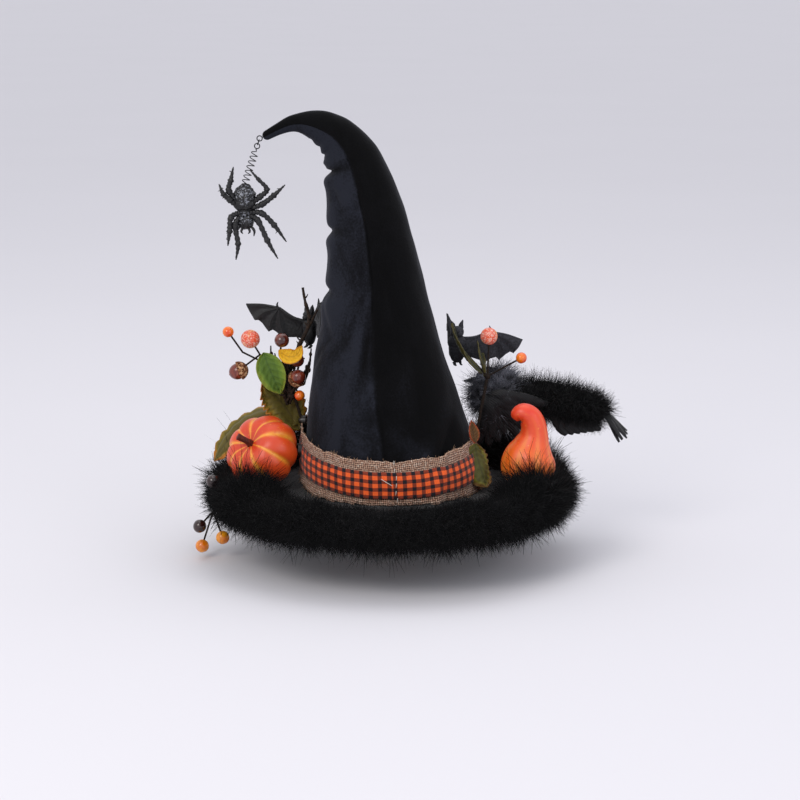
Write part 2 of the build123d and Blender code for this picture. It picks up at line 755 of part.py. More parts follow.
def spider_body():
    body = egg(tuple(spider_centre), SPIDER_BODY)
    body += egg(tuple(spider_head), (8.2, 5.2, 6.6))
    for side in (-1, 1):
        fang = tuple(spider_head + vec(side * 3, -1, -5))
        body += rod(fang, tuple(spider_head + vec(side * 2.2, -2, -9.5)), 1.4, 0.7)
    peg = tuple(spider_top + hang * 6)
    return body + rod(tuple(spider_top), peg, 3.2)


def spider_legs():
    legs = []
    for root, knee, tip in SPIDER_LEGS:
        points = [
            tuple(spider_head),
            tuple(spider_head + vec(root[0], -1, root[1])),
            tuple(spider_head + vec(knee[0], knee[2] * 0.6, knee[1])),
            tuple(spider_head + vec(tip[0], -2, tip[1])),
        ]
        leg = limb(points, [1.6, 1.9, 1.75, 1.3]) + Pos(*points[-1]) * Sphere(1.35)
        legs.append((leg - spider_body()).solids().sort_by(SortBy.VOLUME)[-1])
    return legs


# ---------------------------------------------------------------- export
def save(name, *solids):
    """Write one node; a node of several pieces is written as one compound."""
    pieces = [s for solid in solids for s in (solid if isinstance(solid, list) else [solid])]
    made = [one for piece in pieces for one in piece.solids()]
    export_step(made[0] if len(made) == 1 else Compound(children=made), f"parts/{name}.step")


os.makedirs("parts", exist_ok=True)
pumpkin, stalk, squash = mini_pumpkin(), pumpkin_stem(), gourd()
left_stems, right_stems = left_spray(), right_spray()
burlap, gingham = burlap_band(), gingham_ribbon()
leaves_gold, leaf_pinched, leaves_right = gold_leaves(), pinched_leaf(), right_leaves()
leaf_green, leaf_yellow = green_leaf(), yellow_leaf()
bird, bird_legs = crow_body(), crow_legs()
stems_hanging = hanging_stems()
hanging_dark, hanging_amber = hanging_balls(HANGING_DARK), hanging_balls(HANGING_AMBER)
hanging_orange = hanging_balls(HANGING_ORANGE, 5)
acorns = [acorn_nut(c, r, way) for _, c, r, way in LEFT_ACORNS]
cups = [acorn_cup(c, r, way) for _, c, r, way in LEFT_ACORNS]
bat_left, wings_left = left_bat()
bat_right, wings_right = right_bat()

band_outside = cone_solid(band_face, 0, KNUCKLE)
leaves_gold = [one - pumpkin - stalk - band_outside for one in leaves_gold]
leaf_pinched = leaf_pinched - band_outside
leaf_yellow = leaf_yellow - balls(LEFT_DARK)[0] - balls(LEFT_DARK)[1]
leaves_right = [one - wings_right[0] - wings_right[1] - bat_right for one in leaves_right]
leaves_right = [one.solids().sort_by(SortBy.VOLUME)[-1] for one in leaves_right]
branch = twig() - wings_left[0] - wings_left[1] - bat_left
wires = bat_wires()
wires = [wires[0] - wings_left[0] - wings_left[1] - branch, wires[1] - wings_right[0] - wings_right[1]]
glue = glue_dabs()
on_boa = [pumpkin, squash, bird]

save("crown_velvet", crown_velvet())
save("crown_lining", crown_lining())
save("crown_plug", crown_plug())
save("crown_stuffing", crown_stuffing())
save("spine_wire", spine_wire())
save("tip_velvet", tip_velvet())
save("tip_stuffing", tip_stuffing())
save("tip_wire", tip_wire())
save("brim_top_cover", brim_over_cloth())
save("brim_board", brim_card() - brim_edge_wire())
save("brim_bottom_cover", brim_under_cloth())
save("brim_edge_wire", brim_edge_wire())
save("sweatband", sweatband())
save("boa_cord", boa_cord())
save("feather_boa", feather_boa(on_boa))
save("burlap_band", burlap)
save("gingham_ribbon", gingham)
save("band_stitches", band_stitches())
save("mini_pumpkin", pumpkin)
save("mini_pumpkin_stem", stalk)
save("gourd", squash)
save("gold_leaves", leaves_gold)
save("green_leaf", leaf_green)
save("yellow_leaf", leaf_yellow)
save("pinched_leaf", leaf_pinched)
save("right_leaves", leaves_right)
save("left_spray_stems", left_stems)
save("right_spray_stems", right_stems)
save("orange_berries", balls(LEFT_ORANGE + RIGHT_ORANGE), hanging_orange)
save("sugared_berries", balls(LEFT_SUGARED + RIGHT_SUGARED))
save("dark_berries", balls(LEFT_DARK), hanging_dark)
save("amber_berries", hanging_amber)
save("hanging_stems", stems_hanging)
save("acorn_nuts", acorns)
save("acorn_cups", cups)
save("twig", branch)
save("left_bat_body", bat_left)
save("left_bat_wings", wings_left)
save("right_bat_body", bat_right)
save("right_bat_wings", wings_right)
save("bat_wires", wires)
save("crow_body", bird)
save("crow_beak", crow_beak())
save("crow_eyes", crow_eyes())
save("crow_wings", crow_wings())
save("crow_tail", crow_tail())
save("crow_legs", bird_legs)
save("glue_dabs", glue)
save("spider_ring", jump_ring())
save("spring_loop", spring_loop())
save("spring", coil())
save("spider_body", spider_body())
save("spider_legs", spider_legs())
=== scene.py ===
"""Witch hat: the visible surfaces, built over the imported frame.

Metres, with +Z up the cone and -Y toward the ribbon's join.
"""

import json
import math
import random

import bmesh
import bpy
from mathutils import Matrix, Vector, noise

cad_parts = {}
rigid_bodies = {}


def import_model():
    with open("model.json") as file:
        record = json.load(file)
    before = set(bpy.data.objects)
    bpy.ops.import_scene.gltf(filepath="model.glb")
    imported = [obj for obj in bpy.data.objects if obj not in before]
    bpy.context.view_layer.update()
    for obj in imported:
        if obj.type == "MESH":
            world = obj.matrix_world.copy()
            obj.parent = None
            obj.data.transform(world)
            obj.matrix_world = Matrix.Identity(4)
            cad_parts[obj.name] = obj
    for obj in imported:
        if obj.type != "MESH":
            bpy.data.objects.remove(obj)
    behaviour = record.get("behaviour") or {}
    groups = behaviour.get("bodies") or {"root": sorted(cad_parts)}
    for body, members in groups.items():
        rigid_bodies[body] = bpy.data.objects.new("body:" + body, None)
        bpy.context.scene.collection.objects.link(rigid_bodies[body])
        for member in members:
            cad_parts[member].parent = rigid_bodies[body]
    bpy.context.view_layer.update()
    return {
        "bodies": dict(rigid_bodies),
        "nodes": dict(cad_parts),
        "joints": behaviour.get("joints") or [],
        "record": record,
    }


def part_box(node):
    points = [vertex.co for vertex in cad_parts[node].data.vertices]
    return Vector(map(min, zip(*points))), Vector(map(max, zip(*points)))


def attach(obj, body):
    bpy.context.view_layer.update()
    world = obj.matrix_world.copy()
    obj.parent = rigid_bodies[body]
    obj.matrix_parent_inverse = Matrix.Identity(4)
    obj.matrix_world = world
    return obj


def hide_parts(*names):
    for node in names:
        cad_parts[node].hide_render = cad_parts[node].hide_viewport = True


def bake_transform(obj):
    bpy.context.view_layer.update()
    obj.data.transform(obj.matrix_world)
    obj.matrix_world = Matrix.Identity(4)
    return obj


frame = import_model()

MM = 0.001
FULL_TURN = 2 * math.pi

# ------------------------------------------------------------------ camera
camera = bpy.data.objects.new("camera", bpy.data.cameras.new("camera"))
bpy.context.collection.objects.link(camera)
camera.data.sensor_width, camera.data.lens = 36, 104.6
camera.location = (0.00774, -1.9612, 0.4714)
camera.rotation_euler = (math.radians(90 - 11.3), 0, 0)
camera.data.clip_start, camera.data.clip_end = 0.1, 100
bpy.context.scene.camera = camera


# ------------------------------------------------------------------ small tools
def clamp(x, low=0.0, high=1.0):
    return max(low, min(high, x))


def ease(x):
    """0 to 1 with a soft start and end."""
    x = clamp(x)
    return x * x * (3 - 2 * x)


def hill(x, width):
    """A smooth bump of height 1 at x = 0."""
    return math.exp(-((x / width) ** 2))


def rough(x, y, z, scale, seed=0.0):
    """Smooth noise from -1 to 1; scale is the size of its lumps in metres."""
    return noise.noise(Vector((x / scale + seed, y / scale - seed, z / scale + 2 * seed)))


def along(table, t):
    """A smooth value from a table of rows (t, a, b, ...): Catmull-Rom through its rows."""
    last = len(table) - 1
    i = 0
    while i < last - 1 and t > table[i + 1][0]:
        i += 1
    p0, p1, p2, p3 = table[max(i - 1, 0)], table[i], table[i + 1], table[min(i + 2, last)]
    u = clamp((t - p1[0]) / (p2[0] - p1[0]))
    result = []
    for k in range(1, len(p1)):
        step = p2[0] - p1[0]
        m1 = (p2[k] - p0[k]) / max(p2[0] - p0[0], 1e-9) * step
        m2 = (p3[k] - p1[k]) / max(p3[0] - p1[0], 1e-9) * step
        u2, u3 = u * u, u * u * u
        near = (2 * u3 - 3 * u2 + 1) * p1[k] + (u3 - 2 * u2 + u) * m1
        far = (3 * u2 - 2 * u3) * p2[k] + (u3 - u2) * m2
        result.append(near + far)
    return result


def basis(origin, x_way, y_way, z_way):
    """A matrix whose columns are three ways and a place."""
    rows = Matrix((x_way, y_way, z_way)).transposed().to_4x4()
    rows.translation = origin
    return rows


def facing(origin, way, up=(0, 0, 1)):
    """A matrix at origin whose Z looks along way and whose X stays near up."""
    z = Vector(way).normalized()
    x = Vector(up) - z * Vector(up).dot(z)
    if x.length < 1e-4:
        x = Vector((1, 0, 0)) - z * z.x
    x.normalize()
    return basis(Vector(origin), x, z.cross(x), z)


def corners(node):
    """The lowest and highest corner of a part of the frame."""
    return [Vector(corner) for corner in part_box(node)]


# ------------------------------------------------------------------ materials
def srgb(code):
    """An sRGB hex colour as linear RGBA."""
    parts = [int(code[i : i + 2], 16) / 255 for i in (1, 3, 5)]
    return [p / 12.92 if p <= 0.04045 else ((p + 0.055) / 1.055) ** 2.4 for p in parts] + [1.0]


def add(tree, kind, settings=None, links=None):
    """Adds a node: settings are its properties or its sockets' values, links join its sockets."""
    node = tree.nodes.new("ShaderNode" + kind)
    for key, value in (settings or {}).items():
        if isinstance(key, str) and key in node.bl_rna.properties:
            setattr(node, key, value)
        else:
            node.inputs[key].default_value = value
    for key, source in (links or {}).items():
        tree.links.new(source, node.inputs[key])
    return node


def finish_of(name, **sockets):
    """A new material with one Principled shader; sockets holds the values that are the same all over."""
    material = bpy.data.materials.new(name)
    material.use_nodes = True
    tree = material.node_tree
    tree.nodes.clear()
    values = {key.replace("_", " "): value for key, value in sockets.items()}
    shader = add(tree, "BsdfPrincipled", values)
    add(tree, "OutputMaterial", links={"Surface": shader.outputs["BSDF"]})
    return material, tree, shader


def ramp(tree, factor, stops):
    """A colour ramp of (place, hex) stops driven by factor."""
    node = add(tree, "ValToRGB", links={"Fac": factor})
    elements = node.color_ramp.elements
    while len(elements) < len(stops):
        elements.new(0.5)
    for element, (place, code) in zip(elements, stops):
        element.position, element.color = place, srgb(code)
    return node.outputs["Color"]


def place_of(tree, scale=(1, 1, 1), turn=(0, 0, 0), uv=False):
    """The piece's own coordinates, in metres, times scale."""
    source = add(tree, "TexCoord").outputs["UV" if uv else "Object"]
    return add(tree, "Mapping", {"Scale": scale, "Rotation": turn}, {"Vector": source}).outputs["Vector"]


def grain(tree, place, size, detail=3.0, roughness=0.55, distortion=0.0):
    """Noise whose lumps are size metres across."""
    settings = {"Scale": 1 / size, "Detail": detail, "Roughness": roughness, "Distortion": distortion}
    return add(tree, "TexNoise", settings, {"Vector": place}).outputs["Fac"]


def emboss(tree, shader, height, depth, strength=1.0):
    """Bump of that depth in metres on the shader's normal."""
    bump = add(tree, "Bump", {"Distance": depth, "Strength": strength}, {"Height": height})
    tree.links.new(bump.outputs["Normal"], shader.inputs["Normal"])


def wave_scale(spacing):
    """The scale that sets a wave's bands that far apart, in metres."""
    return FULL_TURN / (20 * spacing)


def mix(tree, factor, first, second, kind="MIX"):
    """Two colours mixed; each of the three is a number, a colour or an output."""
    node = add(tree, "Mix", {"data_type": "RGBA", "blend_type": kind})
    for socket, value in ((0, factor), (6, first), (7, second)):
        if isinstance(value, (int, float, list)):
            node.inputs[socket].default_value = value
        else:
            tree.links.new(value, node.inputs[socket])
    return node.outputs[2]


def maths(tree, operation, a, b=0.5, c=None):
    """One step of arithmetic on numbers or outputs."""
    node = add(tree, "Math", {"operation": operation})
    for socket, value in enumerate((a, b, c)):
        if value is None:
            continue
        if isinstance(value, (int, float)):
            node.inputs[socket].default_value = value
        else:
            tree.links.new(value, node.inputs[socket])
    return node.outputs[0]


def pile_velvet():
    """Polyester velvet: upright pile, black face on; slate-grey painted sheen on its lit side and fold
    ridges.
    """
    material, tree, shader = finish_of(
        "pile_velvet", Roughness=0.92, Sheen_Weight=0.38, Sheen_Roughness=0.32, Specular_IOR_Level=0.12
    )
    shader.inputs["Sheen Tint"].default_value = srgb("#9a9ca6")
    place = place_of(tree, (1, 1, 0.45))
    lean = grain(tree, place, 0.030, 4, 0.62, 0.6)
    fine = grain(tree, place_of(tree), 0.0016, 2)
    # Painted sheen: the lean layer greys the lit left side of the cone and its fold ridges toward slate; the
    # noises above only add random mottling.
    brushed = add(tree, "Attribute", {"attribute_name": "lean"}).outputs["Fac"]
    cloud = maths(tree, "MULTIPLY_ADD", brushed, 0.34, maths(tree, "MULTIPLY", lean, 0.62))
    both = maths(tree, "MULTIPLY_ADD", fine, 0.26, cloud)
    tint = ramp(tree, both, [(0.40, "#020203"), (0.56, "#060608"), (0.68, "#111217"), (0.80, "#20222a")])
    tree.links.new(tint, shader.inputs["Base Color"])
    emboss(tree, shader, both, 0.0012, 0.7)
    return material


def brushed_felt():
    """Black wool-look felt: matt, with short matted hairs."""
    material, tree, shader = finish_of("brushed_felt", Roughness=0.95, Sheen_Weight=0.25,
                                       Specular_IOR_Level=0.1)
    hair = grain(tree, place_of(tree), 0.0022, 6, 0.7, 1.2)
    tree.links.new(ramp(tree, hair, [(0.3, "#08080a"), (0.7, "#1a1a1e")]), shader.inputs["Base Color"])
    emboss(tree, shader, hair, 0.0005, 0.8)
    return material


def grosgrain():
    """Black ribbed ribbon: fine ribs across its width, 1.2 mm apart so that they show."""
    material, tree, shader = finish_of("grosgrain", Roughness=0.7, Sheen_Weight=0.2, Specular_IOR_Level=0.3)
    ribs = add(tree, "TexWave", {"Scale": wave_scale(0.0012), "Distortion": 0.4},
               {"Vector": place_of(tree, uv=True)})
    tree.links.new(ramp(tree, ribs.outputs["Fac"], [(0, "#0a0a0c"), (1, "#1c1c21")]),
                   shader.inputs["Base Color"])
    emboss(tree, shader, ribs.outputs["Fac"], 0.0003, 0.7)
    return material


def marabou_down(name="marabou_down", light="#090a0d"):
    """Dyed down: thin matt barbs, black with lighter patches."""
    material, tree, shader = finish_of(name, Roughness=0.75, Sheen_Weight=0.06, Specular_IOR_Level=0.12)
    clump = grain(tree, place_of(tree), 0.009, 3)
    tree.links.new(ramp(tree, clump, [(0.35, "#030304"), (0.75, light)]), shader.inputs["Base Color"])
    return material


def jute_burlap():
    """Plain-woven jute: yarns 1.7 mm apart in two tans, hairy, with dark gaps between them."""
    material, tree, shader = finish_of("jute_burlap", Roughness=0.93, Sheen_Weight=0.15,
                                       Specular_IOR_Level=0.15)
    place = place_of(tree, uv=True)
    wobble = grain(tree, place, 0.006, 2)
    shift = mix(tree, 0.0012, place, add(tree, "CombineXYZ", links={"X": wobble, "Y": wobble}).outputs[0],
                "ADD")
    pitch = 0.0017
    warp = add(tree, "TexWave", {"Scale": wave_scale(pitch), "bands_direction": "X"},
               {"Vector": shift}).outputs["Fac"]
    weft = add(tree, "TexWave", {"Scale": wave_scale(pitch), "bands_direction": "Y"},
               {"Vector": shift}).outputs["Fac"]
    checks = add(tree, "TexChecker", {"Scale": 1 / pitch}, {"Vector": shift}).outputs["Fac"]
    height = mix(tree, checks, warp, weft)
    height_value = add(tree, "RGBToBW", links={"Color": height}).outputs[0]
    yarn = grain(tree, place, 0.0030, 4, 0.7)
    body = ramp(tree, yarn, [(0.30, "#a87a62"), (0.50, "#d2aa92"), (0.68, "#f6e2d0")])
    shade = ramp(tree, height_value, [(0.10, "#3e261c"), (0.38, "#d2c6bc"), (0.8, "#ffffff")])
    tree.links.new(mix(tree, 1.0, body, shade, "MULTIPLY"), shader.inputs["Base Color"])
    hairy = maths(tree, "MULTIPLY_ADD", grain(tree, place, 0.0006, 3, 0.8), 0.4, height_value)
    emboss(tree, shader, hairy, 0.0007, 0.9)
    return material


def buffalo_gingham():
    """Woven check ribbon: orange and black bands about 3.3 mm wide, black where two black bands cross."""
    material, tree, shader = finish_of("buffalo_gingham", Roughness=0.72, Sheen_Weight=0.2,
                                       Specular_IOR_Level=0.25)
    place = place_of(tree, uv=True)
    parts = add(tree, "SeparateXYZ", links={"Vector": place})
    bands = []
    for axis, repeat, dark_share in (("X", 0.0076, 0.43), ("Y", 0.0065, 0.47)):
        count = maths(tree, "MULTIPLY", parts.outputs[axis], 1 / repeat)
        cycle = maths(tree, "FRACT", maths(tree, "ADD", count, 100.0))
        bands.append(maths(tree, "LESS_THAN", cycle, dark_share))
    crossing = maths(tree, "MULTIPLY", bands[0], bands[1])
    either = maths(tree, "MAXIMUM", bands[0], bands[1])
    twill = add(tree, "TexWave", {"Scale": wave_scale(0.0009), "Distortion": 1.0},
                {"Vector": place}).outputs["Fac"]
    half = mix(tree, twill, srgb("#ac4322"), srgb("#54221a"))
    pale = mix(tree, twill, srgb("#ff7030"), srgb("#f05c1e"))
    tint = mix(tree, either, pale, half)
    tint = mix(tree, crossing, tint, srgb("#10101a"))
    thread = grain(tree, place, 0.0009, 3)
    tint = mix(tree, 0.25, tint, ramp(tree, thread, [(0.3, "#000000"), (0.8, "#ffffff")]), "SOFT_LIGHT")
    tree.links.new(tint, shader.inputs["Base Color"])
    emboss(tree, shader, twill, 0.00025, 0.6)
    return material


def cotton_thread(name, code):
    """Twisted sewing thread."""
    material, tree, shader = finish_of(name, Roughness=0.8, Sheen_Weight=0.2, Specular_IOR_Level=0.25)
    ply = grain(tree, place_of(tree), 0.0007, 2)
    tint = mix(tree, ply, srgb(code), [c * 0.6 for c in srgb(code)[:3]] + [1.0])
    tree.links.new(tint, shader.inputs["Base Color"])
    emboss(tree, shader, ply, 0.0002, 0.6)
    return material


def painted_foam(name, low, middle, high, streak):
    """Moulded foam, airbrushed: colour drifts from foot to top, with brushed streaks and a satin coat."""
    material, tree, shader = finish_of(name, Roughness=0.38, Coat_Weight=0.12, Coat_Roughness=0.3)
    height = add(tree, "Attribute", {"attribute_name": "rise"}).outputs["Fac"]
    stripe = add(tree, "Attribute", {"attribute_name": "stripe"}).outputs["Fac"]
    place = place_of(tree)
    cloud = grain(tree, place, 0.012, 4, 0.6)
    factor = maths(tree, "MULTIPLY_ADD", maths(tree, "SUBTRACT", cloud, 0.5), 0.55, height)
    body = ramp(tree, factor, [(0.0, low), (0.5, middle), (1.0, high)])
    brush = maths(tree, "MULTIPLY", stripe, ramp(tree, grain(tree, place, 0.004, 3),
                                                 [(0.25, "#9a9a9a"), (0.5, "#ffffff")]))
    body = mix(tree, brush, body, srgb(streak))
    specks = ramp(tree, grain(tree, place, 0.0021, 1, 0.4), [(0.70, "#000000"), (0.76, "#ffffff")])
    body = mix(tree, maths(tree, "MULTIPLY", specks, 0.35), body, srgb("#f2b23c"))
    tree.links.new(body, shader.inputs["Base Color"])
    emboss(tree, shader, maths(tree, "MULTIPLY_ADD", grain(tree, place, 0.0014, 3), 0.5, cloud), 0.0005, 0.35)
    return material


def carved_stem():
    """Brown painted stalk with fine lengthwise fibres."""
    material, tree, shader = finish_of("carved_stem", Roughness=0.62, Specular_IOR_Level=0.3)
    fibre = grain(tree, place_of(tree, (1, 1, 0.25)), 0.0018, 4, 0.7)
    tree.links.new(ramp(tree, fibre, [(0.3, "#2a0b08"), (0.7, "#6b2a1c")]), shader.inputs["Base Color"])
    emboss(tree, shader, fibre, 0.0006, 0.8)
    return material


def printed_leaf(name, body, edge, vein):
    """Polyester leaf cloth: printed colour that shifts to its edge, embossed veins and a fine weave."""
    material, tree, shader = finish_of(name, Roughness=0.6, Sheen_Weight=0.1, Specular_IOR_Level=0.35)
    rim = add(tree, "Attribute", {"attribute_name": "rim"}).outputs["Fac"]
    veins = add(tree, "Attribute", {"attribute_name": "vein"}).outputs["Fac"]
    place = place_of(tree)
    cloud = grain(tree, place, 0.009, 4, 0.65)
    factor = maths(tree, "MULTIPLY_ADD", maths(tree, "SUBTRACT", cloud, 0.5), 0.9, rim)
    body = ramp(tree, factor, [(0.25, body[0]), (0.55, body[1]), (0.92, edge)])
    body = mix(tree, maths(tree, "MULTIPLY", veins, 0.65), body, srgb(vein))
    weave = add(tree, "TexWave", {"Scale": wave_scale(0.0012), "Distortion": 1.5},
                {"Vector": place}).outputs["Fac"]
    body = mix(tree, 0.22, body, ramp(tree, weave, [(0, "#303030"), (1, "#d0d0d0")]), "SOFT_LIGHT")
    tree.links.new(body, shader.inputs["Base Color"])
    emboss(tree, shader, maths(tree, "MULTIPLY_ADD", veins, 0.8, maths(tree, "MULTIPLY", weave, 0.3)), 0.0005,
           0.7)
    return material


def lacquered_berry(name, low, high, roughness=0.16):
    """Dipped foam ball: lacquer that blushes from one shade to the other, with a clear gloss."""
    material, tree, shader = finish_of(name, Roughness=roughness, Coat_Weight=0.6, Coat_Roughness=0.08)
    blush = grain(tree, place_of(tree), 0.011, 2, 0.5)
    tree.links.new(ramp(tree, blush, [(0.35, low), (0.65, high)]), shader.inputs["Base Color"])
    emboss(tree, shader, grain(tree, place_of(tree), 0.0016, 2), 0.0002, 0.3)
    return material


def sugared_berry():
    """Foam ball rolled in fine clear grit: peach and red below a pale sparkle."""
    material, tree, shader = finish_of("sugared_berry", Roughness=0.55, Specular_IOR_Level=0.6)
    place = place_of(tree)
    blush = ramp(tree, grain(tree, place, 0.008, 2), [(0.35, "#e8501f"), (0.52, "#e0604a"),
                                                      (0.68, "#f0a04a")])
    grit = add(tree, "TexVoronoi", {"Scale": 1 / 0.0009}, {"Vector": place})
    sparkle = ramp(tree, add(tree, "SeparateColor", links={"Color": grit.outputs["Color"]}).outputs[0],
                   [(0.55, "#000000"), (0.85, "#ffffff")])
    frost = maths(tree, "MULTIPLY", sparkle, 0.55)
    tree.links.new(mix(tree, frost, blush, srgb("#f6e2d2")), shader.inputs["Base Color"])
    emboss(tree, shader, grit.outputs["Distance"], 0.0006, 0.9)
    return material


def varnished_nut():
    """Brown varnished nut with darker streaks down its sides."""
    material, tree, shader = finish_of("varnished_nut", Roughness=0.24, Coat_Weight=0.4, Coat_Roughness=0.15)
    streak = grain(tree, place_of(tree, (1, 1, 0.4)), 0.0035, 4, 0.6)
    tree.links.new(ramp(tree, streak, [(0.3, "#3a0f0a"), (0.6, "#7a2f1c"), (0.8, "#a3623c")]),
                   shader.inputs["Base Color"])
    emboss(tree, shader, streak, 0.0002, 0.3)
    return material


def scaly_cup():
    """Acorn cup: rough scales in brown and tan."""
    material, tree, shader = finish_of("scaly_cup", Roughness=0.88, Specular_IOR_Level=0.2)
    place = place_of(tree)
    scales = add(tree, "TexVoronoi", {"Scale": 1 / 0.0019}, {"Vector": place})
    tint = ramp(tree, add(tree, "SeparateColor", links={"Color": scales.outputs["Color"]}).outputs[0],
                [(0.1, "#4a2a18"), (0.5, "#8a5a3a"), (0.9, "#c9a078")])
    tree.links.new(tint, shader.inputs["Base Color"])
    emboss(tree, shader, scales.outputs["Distance"], 0.0007, 1.0)
    return material


def moulded_black(name, base, light, gloss, lump):
    """Soft black plastic with a moulded, slightly uneven skin."""
    material, tree, shader = finish_of(name, Roughness=gloss, Specular_IOR_Level=0.4)
    skin = grain(tree, place_of(tree), lump, 4, 0.65, 0.5)
    tree.links.new(ramp(tree, skin, [(0.35, base), (0.75, light)]), shader.inputs["Base Color"])
    emboss(tree, shader, skin, lump * 0.35, 0.7)
    return material


def glittered_rubber():
    """Black rubber dusted with silver glitter, thickest on the back."""
    material, tree, shader = finish_of("glittered_rubber", Roughness=0.42, Specular_IOR_Level=0.5)
    place = place_of(tree)
    flake = add(tree, "TexVoronoi", {"Scale": 1 / 0.0011}, {"Vector": place})
    pick = add(tree, "SeparateColor", links={"Color": flake.outputs["Color"]}).outputs[0]
    dust = add(tree, "Attribute", {"attribute_name": "dust"}).outputs["Fac"]
    chosen = ramp(tree, maths(tree, "MULTIPLY", pick, maths(tree, "ADD", dust, 0.45)),
                  [(0.62, "#000000"), (0.84, "#ffffff")])
    tree.links.new(mix(tree, chosen, srgb("#0c0c0f"), srgb("#7d8088")), shader.inputs["Base Color"])
    tree.links.new(maths(tree, "MULTIPLY", chosen, 0.45), shader.inputs["Metallic"])
    emboss(tree, shader, maths(tree, "MULTIPLY_ADD", pick, 0.5, grain(tree, place, 0.0025, 3)), 0.0008, 0.9)
    return material


def wrapped_wire(name, dark, light):
    """Florist's wire under crinkled paper tape; bark has the same rough skin."""
    material, tree, shader = finish_of(name, Roughness=0.8, Specular_IOR_Level=0.25)
    wind = grain(tree, place_of(tree), 0.0017, 3, 0.6)
    tree.links.new(ramp(tree, wind, [(0.35, dark), (0.7, light)]), shader.inputs["Base Color"])
    emboss(tree, shader, wind, 0.0004, 0.9)
    return material


def blackened_steel():
    """Black-oxide spring wire: dark, with a soft metal shine."""
    material, tree, shader = finish_of("blackened_steel", Metallic=0.85, Roughness=0.38)
    rub = grain(tree, place_of(tree), 0.0012, 2)
    tree.links.new(ramp(tree, rub, [(0.4, "#17171a"), (0.75, "#3b3b40")]), shader.inputs["Base Color"])
    emboss(tree, shader, rub, 0.0001, 0.3)
    return material


def vaned_feather():
    """Crow's flight feathers: satin black, lined with barbs, with a cool sheen."""
    material, tree, shader = finish_of("vaned_feather", Roughness=0.46, Sheen_Weight=0.08,
                                       Specular_IOR_Level=0.3)
    barbs = add(tree, "TexWave", {"Scale": wave_scale(0.0012), "Distortion": 2.0,
                                  "bands_direction": "DIAGONAL"},
                {"Vector": place_of(tree)}).outputs["Fac"]
    tree.links.new(ramp(tree, barbs, [(0.1, "#040405"), (0.9, "#101116")]), shader.inputs["Base Color"])
    emboss(tree, shader, barbs, 0.0003, 0.6)
    return material


def glue_in_painted_shade():
    """Set hot-melt glue, painted dark as shade: smooth, seen only in the gaps behind the trims."""
    material, tree, shader = finish_of("glue_in_painted_shade", Roughness=0.3)
    cloud = grain(tree, place_of(tree), 0.003, 2)
    tree.links.new(ramp(tree, cloud, [(0.3, "#1a1816"), (0.7, "#2c2926")]), shader.inputs["Base Color"])
    emboss(tree, shader, cloud, 0.0004, 0.4)
    return material


def stiff_card():
    """Grey-brown millboard with a pressed fibre face."""
    material, tree, shader = finish_of("stiff_card", Roughness=0.9, Specular_IOR_Level=0.2)
    fibre = grain(tree, place_of(tree), 0.0016, 5, 0.7)
    tree.links.new(ramp(tree, fibre, [(0.3, "#7c6a50"), (0.7, "#a08c6c")]), shader.inputs["Base Color"])
    emboss(tree, shader, fibre, 0.0003, 0.6)
    return material


VELVET, FELT, RIBBED = pile_velvet(), brushed_felt(), grosgrain()
DOWN, PALE_DOWN = marabou_down(), marabou_down("grey_tipped_down", "#8a8c98")
BURLAP, GINGHAM = jute_burlap(), buffalo_gingham()
BURLAP_YARN = cotton_thread("jute_yarn", "#b08c6c")
WHITE_THREAD, BLACK_THREAD = cotton_thread("white_thread", "#e9e4da"), cotton_thread("black_thread",
                                                                                     "#0b0b0d")
PUMPKIN_SKIN = painted_foam("airbrushed_pumpkin", "#e4641e", "#df4f1a", "#cf3d1a", "#f0a236")
GOURD_SKIN = painted_foam("airbrushed_gourd", "#f0841c", "#ec5a1e", "#dc3620", "#f59a3a")
STALK = carved_stem()
GOLD_CLOTH = printed_leaf("gold_leaf_cloth", ("#5c5212", "#7d6c14"), "#b0701a", "#3c330c")
GREEN_CLOTH = printed_leaf("green_leaf_cloth", ("#4c6814", "#648020"), "#7f8c2a", "#2c4a12")
YELLOW_CLOTH = printed_leaf("yellow_leaf_cloth", ("#d9a50c", "#e3b414"), "#c9860c", "#a87a10")
OLIVE_CLOTH = printed_leaf("olive_leaf_cloth", ("#4c4c12", "#6e6a18"), "#6a4a14", "#2f2e0c")
RUST_CLOTH = printed_leaf("rust_leaf_cloth", ("#5a3a10", "#7a4a14"), "#9a3a10", "#2f200a")
DARK_CLOTH = printed_leaf("dark_leaf_cloth", ("#20240a", "#33360e"), "#4d4412", "#15180a")
ORANGE_LACQUER = lacquered_berry("orange_lacquer", "#d8380e", "#ef7a1a")
AMBER_LACQUER = lacquered_berry("amber_lacquer", "#d9700c", "#f0a020")
DARK_LACQUER = lacquered_berry("dark_lacquer", "#1a0b0a", "#3a1812")
CHESTNUT = lacquered_berry("chestnut_lacquer", "#3a120c", "#6e2c1a", 0.24)
SUGAR, NUT, CUP = sugared_berry(), varnished_nut(), scaly_cup()
BAT_PLASTIC = moulded_black("bat_plastic", "#0a0a0c", "#191a1d", 0.5, 0.0030)
FLOCKED = moulded_black("flocked_plastic", "#1a1b1f", "#3d3e46", 0.9, 0.0016)
CROW_BLACK = moulded_black("crow_black", "#060607", "#131318", 0.6, 0.0022)
GLITTER, SPRING_STEEL = glittered_rubber(), blackened_steel()
TAPE = wrapped_wire("wrapped_wire", "#0c0806", "#2b1e14")
BARK = wrapped_wire("twig_bark", "#120c09", "#3a2a1e")
VANE, PAINTED_SHADE_GLUE, CARD = vaned_feather(), glue_in_painted_shade(), stiff_card()
EYE = lacquered_berry("amber_eye", "#7a3a06", "#c98a14", 0.1)


